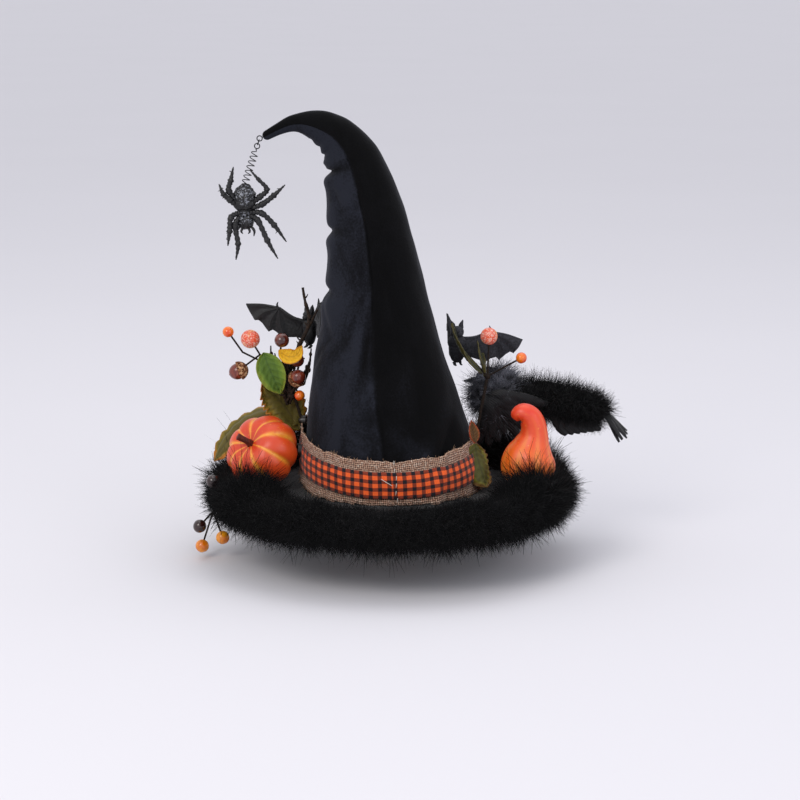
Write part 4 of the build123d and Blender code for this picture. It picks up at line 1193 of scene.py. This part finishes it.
# ------------------------------------------------------------------ leaves
OVATE = [(0.0, 0.03), (0.10, 0.48), (0.28, 0.90), (0.48, 1.0), (0.70, 0.80), (0.88, 0.42), (1.0, 0.02)]
BROAD = [(0.0, 0.04), (0.08, 0.50), (0.25, 0.95), (0.50, 1.0), (0.74, 0.86), (0.90, 0.55), (1.0, 0.05)]
SLIM = [(0.0, 0.05), (0.15, 0.6), (0.40, 1.0), (0.65, 0.8), (0.86, 0.4), (1.0, 0.02)]


def leaf(name, path, width, face, shape, cloth, replaces=(), cup=0.2, teeth=0.0, ripple=0.0012, seed=1):
    """A stamped cloth leaf along a bent midrib; all in millimetres except ripple."""
    rows, columns = 44, 22
    line = [Vector(p) * MM for p in smooth_path(path, 12)]
    face = Vector(face).normalized()
    bm = bmesh.new()
    rim, vein = bm.verts.layers.float.new("rim"), bm.verts.layers.float.new("vein")
    bmesh.ops.create_grid(bm, x_segments=columns, y_segments=rows, size=0.5)
    for vert in bm.verts:
        c, s = vert.co.x * 2, vert.co.y + 0.5
        point, way = on_line(line, s)
        side = face.cross(way).normalized()
        out = way.cross(side).normalized()
        half = along(shape, s)[0] * width * 0.5 * MM
        nick = 1 - teeth * abs((s * 9 + 0.25 * seed) % 1 - 0.35) * ease(s * 4)
        rows_of_veins = abs(((s - abs(c) * 0.22) * 7 + 0.3) % 1 - 0.5) * 2
        ridge = max(hill(c, 0.07), 0.75 * hill(1 - rows_of_veins, 0.16) * (1 - abs(c)) ** 0.3)
        vert[rim] = ease(abs(c) ** 1.6 * 0.9 + 0.5 * ease((s - 0.75) * 4) + 0.15 * rough(s, c, seed, 0.4,
                                                                                         seed))
        vert[vein] = ridge
        lift = cup * abs(c) ** 1.6 * half - 0.0005 * ridge + ripple * rough(s, c, seed, 0.35,
                                                                            seed) * (0.3 + abs(c))
        lift += 0.0006 * math.sin(rows_of_veins * math.pi / 2)
        vert.co = point + side * c * half * nick + out * lift
    blade = join_piece(name, bm, "crown", cloth, replaces, recalc=False)
    thicken(blade, 0.6 * MM)


leaf("gold_leaf_tall", [(-79, 14.5, 50), (-91, 17, 68), (-101, 18, 80), (-112, 17, 91)], 37,
     (0.30, -0.92, 0.22), BROAD,
     GOLD_CLOTH, ("gold_leaves",), cup=0.22, teeth=0.42, ripple=0.0042, seed=3)
leaf("gold_leaf_low", [(-82, 14, 55), (-103, 15, 64), (-126, 14, 56), (-143, 10, 40), (-153, 6, 24)], 33,
     (-0.30, -0.62, 0.72), BROAD, GOLD_CLOTH, cup=-0.30, teeth=0.30, ripple=0.0035, seed=8)
leaf("green_leaf_blade", [(-109.5, 3.8, 120), (-105, -0.6, 109), (-99.5, -1.6, 96), (-95.0, 1.0, 85)], 23.5,
     (0.15, -1, 0.1), OVATE, GREEN_CLOTH, ("green_leaf",), cup=0.25, ripple=0.0016, seed=5)
leaf("yellow_leaf_blade", [(-96, 4.0, 122), (-89, -1.5, 118), (-81, -3.5, 119), (-76, -1.0, 127)], 13,
     (0, -1, 0.35), OVATE, YELLOW_CLOTH, ("yellow_leaf",), cup=0.35, ripple=0.0012, seed=2)
leaf("pinched_leaf_skirt", [(71.5, -24.3, 46.5), (73.5, -27.5, 36), (77.5, -33.5, 22), (81, -38, 11)], 25,
     (0.5, -0.85, 0.1), BROAD, OLIVE_CLOTH, ("pinched_leaf",), cup=-0.35, teeth=0.25,
     ripple=0.0024, seed=6)
leaf("pinched_leaf_neck", [(71.5, -24.2, 46.5), (70.6, -22.8, 52), (69.6, -21.2, 58), (68.6, -20.4, 66)],
     10.5,
     (0.5, -0.85, 0), OVATE, RUST_CLOTH, cup=0.30, ripple=0.0009, seed=4)
leaf("right_leaf_near", [(78.5, 14, 100), (65, 19, 112), (56, 24, 127), (52, 26, 142)], 13,
     (0.96, -0.25, 0.12), SLIM, DARK_CLOTH, ("right_leaves",), cup=0.3, ripple=0.0022, seed=7)
leaf("right_leaf_far", [(81, 15.8, 97), (78, 24, 107), (76, 33, 118), (75, 40, 127)], 14,
     (0.96, -0.2, 0.2), SLIM, DARK_CLOTH, cup=0.3, ripple=0.0020, seed=9)


# ------------------------------------------------------------------ berries, stems and twig
def berries(node, material, dimple=True, squash=0.97, above=-1.0, below=1.0, name=None):
    """Rounds that stand for a node's berries whose centres lie between two heights."""
    bm = bmesh.new()
    for i, (centre, size) in enumerate(lumps(node)):
        if not above < centre.z < below:
            continue
        radius = max(size) / 2
        turn = Matrix.Rotation(i * 1.3, 4, "X") @ Matrix.Rotation(i * 0.7, 4, "Y")
        for vert in ball(bm, centre, radius, (1, 1, squash), turn, 40):
            way = (vert.co - centre) / radius
            vert.co += way * radius * 0.018 * rough(*(way + Vector((i, 0, 0))), 0.9, i)
            if dimple:
                vert.co -= way * radius * 0.10 * hill((way - Vector((0.25, -0.2, -0.94))).length, 0.16)
    join_piece(name or f"{node}_round", bm, "crown", material, (node,))


berries("orange_berries", ORANGE_LACQUER)
berries("amber_berries", AMBER_LACQUER)
berries("dark_berries", DARK_LACQUER, below=0.08)
berries("dark_berries", CHESTNUT, above=0.08, name="chestnut_berries")
berries("sugared_berries", SUGAR, dimple=False)


def tendrils():
    """Wrapped wire ends twisted together round the hub of the left spray, with knots of tape."""
    pick = random.Random(77)
    low, _ = corners("left_spray_stems")
    hub = Vector((-0.0895, 0.0115, 0.099))
    bm = bmesh.new()
    for i in range(15):
        a = FULL_TURN * i / 15
        start = hub + Vector((0.002 * math.cos(a), 0.002 * math.sin(a), -0.026 + 0.012 * pick.random()))
        points, here = [start], start
        drift = Vector((pick.uniform(-0.5, 0.75), pick.uniform(-0.5, 0.1), 1)).normalized()
        for _ in range(6):
            here = here + drift * 0.0072 + Vector([pick.gauss(0, 0.0021) for _ in range(3)])
            here.x = clamp(here.x, low.x + 0.01, -0.0715 + (here.z - 0.1) * 0.12)
            here.y = max(here.y, 0.0075)
            points.append(here)
        cane(bm, points, [0.0012, 0.0010, 0.0011, 0.0009, 0.0010, 0.0008, 0.0006], 7, 4)
        for point in points[1::2]:
            ball(bm, point, pick.uniform(0.0014, 0.0022), (1, 1, 1.3), None, 10)
    join_piece("twisted_tendrils", bm, "crown", BARK)


def knobbly_twig():
    """A forked twig with swellings along it and small buds."""
    bm = bmesh.new()
    pick = random.Random(5)
    trunk = [(-88, 12.4, 102), (-83, 10, 115), (-78.5, 8, 127), (-71.5, 6.6, 141), (-70.5, 6.8, 152),
             (-73.5, 7.6, 164), (-75.5, 8, 176)]
    side = [(-71.5, 6.6, 141), (-67, 7, 149), (-63, 8, 157)]
    for path, thick in ((trunk, 1.9), (side, 1.3)):
        points = [Vector(p) * MM for p in path]
        radii = [thick * MM * (1 - 0.5 * i / len(points)) for i in range(len(points))]
        rings = cane(bm, points, radii, 12, 8)
        for i, ring in enumerate(rings):
            middle = middle_of(ring)
            swell = 1 + 0.22 * rough(i * 0.31, 0, thick, 1, 2) + 0.35 * hill((i % 11) - 5, 1.2)
            for vert in ring:
                vert.co = middle + (vert.co - middle) * swell * (1 + 0.12 * rough(*vert.co, 0.0016, 4))
    for i in range(9):
        root = Vector(trunk[1 + i % 5]) * MM + Vector((0, 0, pick.uniform(-0.004, 0.004)))
        way = Vector((pick.choice((-1, 1)) * pick.uniform(0.6, 1), -0.3, 0.9)).normalized()
        bud = [root, root + way * 0.002, root + way * 0.0038 + Vector((0, 0, 0.001))]
        cane(bm, bud, [0.0008, 0.0006, 0.0003], 7, 3)
    join_piece("knobbly_twig", bm, "crown", BARK, ("twig",))


tendrils()
knobbly_twig()


# ------------------------------------------------------------------ bats
WING_EDGE = [(0, 6), (16, 10), (23, 16), (26, 18.5), (29, 15.5), (41, 18), (55, 17.5), (51.5, 10), (47, 3),
             (43.5, 3.4),
             (40, 0.5), (34, -7), (30.5, -5), (26, -7.5), (19, -15), (15.5, -11.5), (8, -11), (0, -13)]
WING_BONES = [[(0, 4), (12, 8), (24.5, 16)], [(24.5, 16), (40, 18), (55, 17.5)],
              [(24.5, 16), (38, 11), (47, 3)],
              [(24.5, 16), (31, 5), (34, -7)], [(24.5, 16), (23, 2), (19, -15)]]


def bat_wing(bm, shoulder, heading, size, lift):
    """One wing: a thin membrane that sags between its finger bones, standing upright on its heading."""
    a = math.radians(heading)
    way, face = Vector((math.cos(a), math.sin(a), 0)), Vector((math.sin(a), -math.cos(a), 0))

    def spot(x, y, out=0.0):
        risen = Vector((0, 0, y * size + x * size * lift))
        return Vector(shoulder) * MM + (way * x * size + risen + face * out) * MM

    skin = bmesh.new()
    outline = [skin.verts.new((x, y, 0)) for x, y in WING_EDGE]
    edges = [skin.edges.new((p, q)) for p, q in zip(outline, outline[1:] + outline[:1])]
    bmesh.ops.contextual_create(skin, geom=outline + edges)
    bmesh.ops.triangulate(skin, faces=skin.faces)
    for _ in range(4):
        bmesh.ops.subdivide_edges(skin, edges=[e for e in skin.edges if e.calc_length() > 1.4], cuts=1)
        bmesh.ops.triangulate(skin, faces=skin.faces)
    for vert in skin.verts:
        nearest = 99.0
        for bone in WING_BONES:
            for p, q in zip(bone, bone[1:]):
                p, q = Vector((*p, 0)), Vector((*q, 0))
                share = clamp((vert.co - p).dot(q - p) / (q - p).length_squared)
                nearest = min(nearest, (vert.co - p.lerp(q, share)).length)
        vert.co = spot(vert.co.x, vert.co.y, 1.5 * (1 - hill(nearest, 3.2)) + 0.010 * vert.co.x ** 2 * 0.25)
    add_shell(bm, skin, 0.9 * MM)
    for number, bone in enumerate(WING_BONES):
        points = [spot(x, y, 0.010 * x ** 2 * 0.25 - 0.3) for x, y in bone]
        finger = [1.5 * MM * size, 1.1 * MM * size, 0.55 * MM * size]
        cane(bm, points, finger if number else 1.7 * MM * size, 10, 6)
    cane(bm, [spot(24.5, 15), spot(26, 19), spot(25, 22)], [1.2 * MM, 0.9 * MM, 0.3 * MM], 8, 4)


def bat(name, node, size, thickness, wings, material, gaze):
    """A moulded bat: round body, head with a snout and pointed ears, feet, and two upright wings."""
    low, high = corners(f"{node}_body")
    middle = Vector(((low.x + high.x) / 2, (low.y + high.y) / 2, low.z + 13 * size * MM))
    bm = bmesh.new()
    t = thickness * MM
    ball(bm, middle, 1, (t, t, 13.5 * size * MM), None, 36)
    ball(bm, middle + Vector((0, 0, 5 * MM)), 1, (t * 1.1, t * 1.02, 8 * size * MM), None, 30)
    head = middle + Vector((0, 0, 15 * size * MM))
    ball(bm, head, 6.3 * size * MM, (1, 0.95, 0.92), None, 30)
    look = Vector(gaze).normalized()
    side = look.cross(Vector((0, 0, 1))).normalized()
    ball(bm, head + look * 4.6 * size * MM - Vector((0, 0, 1.2 * MM)), 3.0 * size * MM, (1, 1, 0.8), None, 20)
    for way in (-1, 1):
        root = head + side * way * 3.8 * size * MM + Vector((0, 0, 3.6 * size * MM))
        bend = root + Vector((0, 0, 3 * MM)) + side * way * 0.6 * MM
        ear_tip = root + Vector((0, 0, 7.4 * size * MM)) + side * way * 2.2 * MM
        cane(bm, [root, bend, ear_tip], [2.5 * size * MM, 2.1 * size * MM, 0.3 * MM], 12, 5)
        eye = head + look * 5.0 * size * MM + side * way * 2.3 * size * MM + Vector((0, 0, 1.4 * MM))
        ball(bm, eye, 0.9 * MM, (1, 1, 1), None, 10)
        foot = middle + side * way * 3 * MM - Vector((0, 0, 12.5 * size * MM))
        heel, toe = look * 1.5 * MM - Vector((0, 0, 2 * MM)), look * 4 * MM - Vector((0, 0, 2.6 * MM))
        cane(bm, [foot, foot + heel, foot + toe], [1.5 * MM, 1.1 * MM, 0.4 * MM], 8, 4)
    for vert in bm.verts:
        vert.co += Vector((1, 0.4, 0.2)) * 0.0005 * rough(*vert.co, 0.004, 2)
    join_piece(f"{name}_body", bm, "crown", material, (f"{node}_body",))
    bm = bmesh.new()
    for heading, lift in wings:
        shoulder = (middle + Vector((0, 0, 5 * size * MM))) / MM
        a = math.radians(heading)
        shoulder += Vector((math.cos(a), math.sin(a), 0)) * thickness * 0.6
        bat_wing(bm, shoulder, heading, size, lift)
    join_piece(f"{name}_wings", bm, "crown", material, (f"{node}_wings",), recalc=False)


bat("moulded_bat", "left_bat", 0.92, 6.5, ((183, 0.05), (75, 0.0)), BAT_PLASTIC, (-0.8, -0.6, 0))
bat("flocked_bat", "right_bat", 0.95, 7.5, ((2, -0.25), (105, 0.0)), FLOCKED, (0.5, -0.85, 0))


# ------------------------------------------------------------------ crow
CROW = Vector((corners("crow_body")[0].x + 0.0235, 0.044, 0.066))      # the middle of its breast
# along its back from the head: x, y, z from CROW and radius, in millimetres
CROW_SPINE = [(-12, 16, 20, 11.0), (-6, 9, 11, 13.5), (0, 0, 0, 16.5), (26, -4, 4, 15.5), (54, -8, 2, 11.5),
              (72, -9, -2, 9.0), (84, -8, -7, 5.0)]


def crow_point(s):
    x, y, z, radius = along([(i, *row) for i, row in enumerate(CROW_SPINE)], s)
    return CROW + Vector((x, y, z)) * MM, radius * MM


def crow():
    """A feathered craft crow's body, head turned to the far side: trunk, dark fluff and a greyer ruff."""
    bm = bmesh.new()
    steps = 40
    points, radii = zip(*[crow_point(i * (len(CROW_SPINE) - 1) / steps) for i in range(steps + 1)])
    rings_along(bm, steady_frames(points, radii), 40)
    ball(bm, points[0], radii[0] * 1.04, (1, 1, 1), None, 32)
    ball(bm, points[-1], radii[-1], (1, 1, 1), None, 20)
    for vert in bm.verts:
        vert.co += Vector((0.3, -1, 0.5)) * 0.0011 * rough(*vert.co, 0.011, 3)
    join_piece("crow_trunk", bm, "crown", DOWN, ("crow_body",))
    pick = random.Random(91)
    dark, grey = [], []
    while len(dark) < 1900:
        s = pick.uniform(0.0, len(CROW_SPINE) - 1)
        centre, radius = crow_point(s)
        onward, _ = crow_point(min(s + 0.1, len(CROW_SPINE) - 1))
        back, _ = crow_point(max(s - 0.1, 0))
        ahead = (onward - back).normalized()
        out = Vector([pick.gauss(0, 1) for _ in range(3)])
        out = (out - ahead * out.dot(ahead)).normalized()
        swept = ahead * pick.uniform(0.35, 1.1)
        stray = Vector([pick.gauss(0, 0.22) for _ in range(3)])
        lay = (out + swept + stray).normalized()
        length = pick.uniform(0.010, 0.018) * (1.35 if out.z > 0.2 and s > 2.5 else 1.0)
        point = centre + out * radius * 0.86
        end = point + lay * length
        in_cone = math.hypot(end.x + 0.006, end.y) < 0.074
        if in_cone or (GOURD[0].x < end.x < GOURD[1].x and end.y < 0.012 and end.z < GOURD[1].z):
            continue
        dark.append((point, lay, out, length))
        if s < 2.1 and out.y < 0.5 and pick.random() < 0.9:
            upward = (lay + out * 0.5 + Vector((-0.25, -0.2, 0.35))).normalized()
            grey.append((point + out * 0.002, upward, out, length * 1.35))
    plumes("crow_fluff", dark, DOWN)
    plumes("crow_ruff", grey, PALE_DOWN)


def quill(bm, path, width, face, cup=0.0):
    """One stiff feather: a shaft with a narrow cupped vane; path in metres, width in metres."""
    rows, columns = 22, 8
    line = [Vector(p) for p in smooth_path(path, 10)]
    blade = bmesh.new()
    bmesh.ops.create_grid(blade, x_segments=columns, y_segments=rows, size=0.5)
    for vert in blade.verts:
        c, s = vert.co.x * 2, vert.co.y + 0.5
        point, way = on_line(line, s)
        side = Vector(face).cross(way).normalized()
        half = width * 0.5 * math.sin(math.pi * clamp(s * 0.86 + 0.10)) ** 0.55 * (0.7 if c > 0 else 1.0)
        notch = 1 - 0.16 * ease(((s * 13 + c) % 1 - 0.8) * 6) * abs(c)
        vert.co = point + side * c * half * notch - Vector(face).normalized() * cup * half * c * c
    add_shell(bm, blade, 0.45 * MM)
    cane(bm, [line[0], line[len(line) // 2], line[-1]], [0.0008, 0.0006, 0.0002], 7, 8)


# feathers, their length and width, and how far the row stands out, in metres
WING_ROWS = ((9, 0.052, 0.0125, 0.0), (8, 0.039, 0.0125, -0.0012), (7, 0.026, 0.013, -0.0024))


def crow_wings_and_tail():
    """Three rows of satin wing feathers on the near side, one on the far side, and the tail's fan."""
    bm = bmesh.new()
    low, high = corners("crow_wings")
    shoulder = Vector((low.x + 0.009, low.y + 0.0008, high.z - 0.010))
    for row, (count, reach, wide, out) in enumerate(WING_ROWS):
        for i in range(count):
            a = math.radians(-100 + 92 * i / (count - 1) + 3 * row)
            way = Vector((math.cos(a), 0, math.sin(a)))
            tip = shoulder + way * reach * (0.86 + 0.14 * math.sin(i * 1.7)) + Vector((0, out - 0.00025 * i,
                                                                                       0))
            tip.x = clamp(tip.x, low.x + 0.001, low.x + 0.060)
            tip.z = clamp(tip.z, low.z - 0.009, high.z + 0.004)
            middle = shoulder.lerp(tip, 0.5) + Vector((0.002, out - 0.0008 - 0.0002 * i, 0.002))
            quill(bm, [shoulder + Vector((0, out, 0)), middle, tip], wide, (0, -1, 0.1), 0.25)
    for i in range(9):
        a = math.radians(-62 + 66 * i / 8)
        root = Vector((low.x + 0.034, high.y - 0.0012 + 0.0002 * i, 0.076))
        tip = root + Vector((math.cos(a) * 0.045, 0.001, math.sin(a) * 0.022))
        quill(bm, [root, root.lerp(tip, 0.5) + Vector((0, 0.001, 0.002)), tip], 0.011, (0, 1, 0.1), 0.2)
    join_piece("crow_satin_wings", bm, "crown", VANE, ("crow_wings",), recalc=False)
    bm = bmesh.new()
    base, _ = crow_point(4.6)
    for i in range(11):
        fan = (i - 5) / 5
        reach = 1 - 0.12 * fan * fan - (0.1 if i % 3 == 1 else 0)
        tip = base + Vector((0.044 * reach, 0.002 + 0.010 * fan, -0.020 - 0.007 * abs(fan) - 0.004 * (i % 2)))
        middle = base + Vector((0.023, 0.005 * fan, -0.003 - 0.002 * abs(fan)))
        quill(bm, [base + Vector((0, 0.003 * fan, 0)), middle, tip], 0.0065, (0.2, -0.45 + 0.3 * fan, 1), 0.3)
    for i in range(6):
        root = base + Vector((-0.024 + 0.004 * i, -0.004, -0.004))
        tip = root + Vector((0.014 + 0.002 * i, -0.003, -0.019 + 0.001 * i))
        quill(bm, [root, root.lerp(tip, 0.5) + Vector((0.001, -0.001, -0.002)), tip], 0.009, (0, -1, 0.2),
              0.3)
    join_piece("crow_tail_quills", bm, "crown", VANE, ("crow_tail",), recalc=False)


crow()
crow_wings_and_tail()


# ------------------------------------------------------------------ spider and its spring
def spider():
    """A moulded rubber spider: lumpy belly dusted with glitter, small head, eight legs with spurs."""
    low, high = corners("spider_body")
    top = Vector(((low.x + high.x) / 2, 0, high.z))
    belly = Vector((top.x, 0, high.z - 0.0130))
    head = Vector((top.x + 0.0005, 0, low.z + 0.0062))
    bm = bmesh.new()
    dust = bm.verts.layers.float.new("dust")
    ball(bm, belly, 1, (0.0101, 0.0072, 0.0128), None, 72)
    ball(bm, head, 1, (0.0068, 0.0056, 0.0066), None, 48)
    ball(bm, (belly + head) / 2 - Vector((0, 0, 0.0015)), 1, (0.0046, 0.0042, 0.0050), None, 24)
    for vert in bm.verts:
        middle = belly if vert.co.z > (belly.z + head.z) / 2 - 0.001 else head
        way = (vert.co - middle).normalized()
        bump = 0.0011 * rough(*vert.co, 0.0042, 3) + 0.0006 * rough(*vert.co, 0.0017, 8)
        groove = 0.0007 * hill((vert.co.x - belly.x) / MM, 0.7) * (way.y < 0)
        bands = 0.0006 * abs(math.sin((vert.co.z - belly.z) / MM * 0.75)) * (middle is belly)
        bump -= groove + bands
        vert.co += way * bump
        vert[dust] = clamp(0.75 * -way.y + 0.35 * way.z)
    for side in (-1, 1):
        for k in range(2):
            eye = head + Vector((side * (0.0018 + 0.0016 * k), -0.0048 + 0.0008 * k, -0.0018))
            ball(bm, eye, 0.0010, (1, 1, 1), None, 12)
        root = head + Vector((side * 0.0022, -0.001, -0.0048))
        fang = [root, root + Vector((side * 0.0014, -0.0012, -0.0030)), root + Vector((0, -0.001, -0.0052))]
        cane(bm, fang, [0.0012, 0.0010, 0.0003], 10, 4)
        root = head + Vector((side * 0.004, -0.001, -0.0030))
        bend, end = Vector((side * 0.0034, -0.0015, -0.0042)), Vector((side * 0.0030, -0.001, -0.0090))
        cane(bm, [root, root + bend, root + end], [0.0011, 0.0012, 0.0004], 8, 4)
    join_piece("rubber_spider_body", bm, "spider", GLITTER, ("spider_body",))
    x, z = top.x, high.z - 0.2652
    legs = [
        [(-127.5, 0, 247), (-136.5, -3, 259), (-134.8, -4, 268), (-132.4, -5, 279.5)],
        [(-128, 0, 244), (-136, -3, 251.5), (-141.2, -4, 256.5), (-144.7, -5, 265)],
        [(-119, 0, 244), (-108.5, -3, 247.8), (-98.5, -4, 255.5), (-89, -5, 264.4)],
        [(-119.5, 0, 247), (-110.5, -3, 254), (-104.4, -4, 260.5), (-111.5, -5, 269), (-118.5, -5, 277)],
        [(-128, 0, 240.5), (-135, -3, 236.5), (-136.5, -4, 224.5), (-138, -5, 212.6)],
        [(-127, 0, 238), (-131.8, -3, 230), (-129.4, -4, 214), (-131.3, -5, 200.7)],
        [(-119, 0, 240.5), (-109, -3, 240), (-98.5, -4, 230), (-88.3, -5, 216)],
        [(-120, 0, 238), (-112.5, -3, 234), (-104.5, -4, 217), (-95.7, -5, 201.6)],
    ]
    bm = bmesh.new()
    bm.verts.layers.float.new("dust")
    pick = random.Random(8)
    for leg in legs:
        points = [Vector((p[0] * MM + x + 0.12354, p[1] * MM, p[2] * MM + z)) for p in leg]
        radii = [0.0021, 0.0023, 0.0020, 0.0014, 0.0007][: len(points)]
        radii[-1] = 0.0005
        rings = cane(bm, points, radii, 12, 12)
        for i, ring in enumerate(rings):
            middle = middle_of(ring)
            joint = hill((i + 6) % 12 - 6, 1.6) if 0 < i < len(rings) - 2 else 0
            swell = 1 + 0.30 * joint + 0.16 * math.sin(i * 1.9) + 0.10 * rough(i * 0.4, 1, 0, 1, 5)
            for vert in ring:
                vert.co = middle + (vert.co - middle) * swell
            if i % 3 == 1 and i < len(rings) - 3:
                out = Vector([pick.gauss(0, 1) for _ in range(3)]).normalized()
                spur = [middle, middle + out * 0.0021, middle + out * 0.0034 + Vector((0, 0, -0.0006))]
                cane(bm, spur, [0.0005, 0.0004, 0.0001], 5, 2)
    join_piece("rubber_spider_legs", bm, "spider", GLITTER, ("spider_legs",))


def hanging_spring():
    """The open coil that the spider bounces on; it stretches between its two ends."""
    top, bottom = Vector((-113.90, 0, 293.71)) * MM, Vector((-123.32, 0, 265.85)) * MM
    down = (bottom - top).normalized()
    side = down.cross(Vector((0, 1, 0))).normalized()
    front = Vector((0, 1, 0))
    points = []
    turns, steps = 7, 22
    for i in range(turns * steps + 1):
        s = i / (turns * steps)
        a = FULL_TURN * turns * s
        reach = 0.0030 * (0.25 + 0.75 * ease(min(s, 1 - s) * 12))
        out = side * math.cos(a) + front * math.sin(a)
        points.append(top + down * (bottom - top).length * s + out * reach)
    points = [top - down * 0.0015] + points + [bottom + down * 0.002]
    bm = bmesh.new()
    rings_along(bm, steady_frames(points, [0.00040] * len(points)), 8)
    coil = join_piece("spider_spring_coil", bm, None, SPRING_STEEL, ("spring",))
    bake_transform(coil)


spider()
hanging_spring()

# ------------------------------------------------------------------ finishes on the frame's own parts
CARRIED_OVER = {
    # the glue dabs take glue painted dark as the shade in the gaps behind the trims
    "brim_board": CARD, "boa_cord": TAPE, "glue_dabs": PAINTED_SHADE_GLUE,
    "spine_wire": SPRING_STEEL, "brim_edge_wire": SPRING_STEEL,
    "left_spray_stems": TAPE, "right_spray_stems": TAPE, "hanging_stems": TAPE, "bat_wires": TAPE,
    "acorn_nuts": NUT, "acorn_cups": CUP, "crow_beak": CROW_BLACK, "crow_eyes": EYE, "crow_legs": TAPE,
    "spider_ring": SPRING_STEEL, "spring_loop": SPRING_STEEL, "tip_wire": SPRING_STEEL,
}
for node, material in CARRIED_OVER.items():
    mesh = bpy.data.objects[node].data
    mesh.materials.clear()
    mesh.materials.append(material)


# ------------------------------------------------------------------ studio
def soft_light(name, place, aim, size, power, code):
    lamp = bpy.data.lights.new(name, "AREA")
    lamp.shape, lamp.size, lamp.energy = "DISK", size, power
    lamp.color = srgb(code)[:3]
    thing = bpy.data.objects.new(name, lamp)
    bpy.context.collection.objects.link(thing)
    thing.matrix_world = facing(Vector(place), Vector(place) - Vector(aim))


def floor():
    """A pale matt floor, wide enough to reach past every view."""
    material, tree, shader = finish_of("pale_paper", Roughness=0.9, Specular_IOR_Level=0.1)
    tooth = grain(tree, place_of(tree), 0.5, 2)
    tree.links.new(ramp(tree, tooth, [(0.3, "#dddce1"), (0.7, "#dedde2")]), shader.inputs["Base Color"])
    bm = bmesh.new()
    bmesh.ops.create_circle(bm, cap_ends=True, segments=96, radius=45,
                            matrix=Matrix.Translation((0, 0, -0.058)))
    mesh = bpy.data.meshes.new("pale_floor")
    bm.to_mesh(mesh)
    bm.free()
    mesh.materials.append(material)
    thing = bpy.data.objects.new("pale_floor", mesh)
    bpy.context.collection.objects.link(thing)


floor()
soft_light("key", (-1.1, -1.7, 1.5), (0, 0, 0.12), 1.1, 18, "#fffaf4")
soft_light("fill", (1.5, -1.5, 0.9), (0, 0, 0.12), 1.4, 6, "#f4f6ff")
soft_light("top", (0.1, 0.3, 1.9), (0, 0, 0.1), 1.5, 6, "#ffffff")
world = bpy.data.worlds.new("studio")
world.use_nodes = True
world.node_tree.nodes["Background"].inputs["Color"].default_value = srgb("#f0f0f5")
world.node_tree.nodes["Background"].inputs["Strength"].default_value = 0.98
bpy.context.scene.world = world
bpy.context.scene.view_settings.view_transform = "Standard"
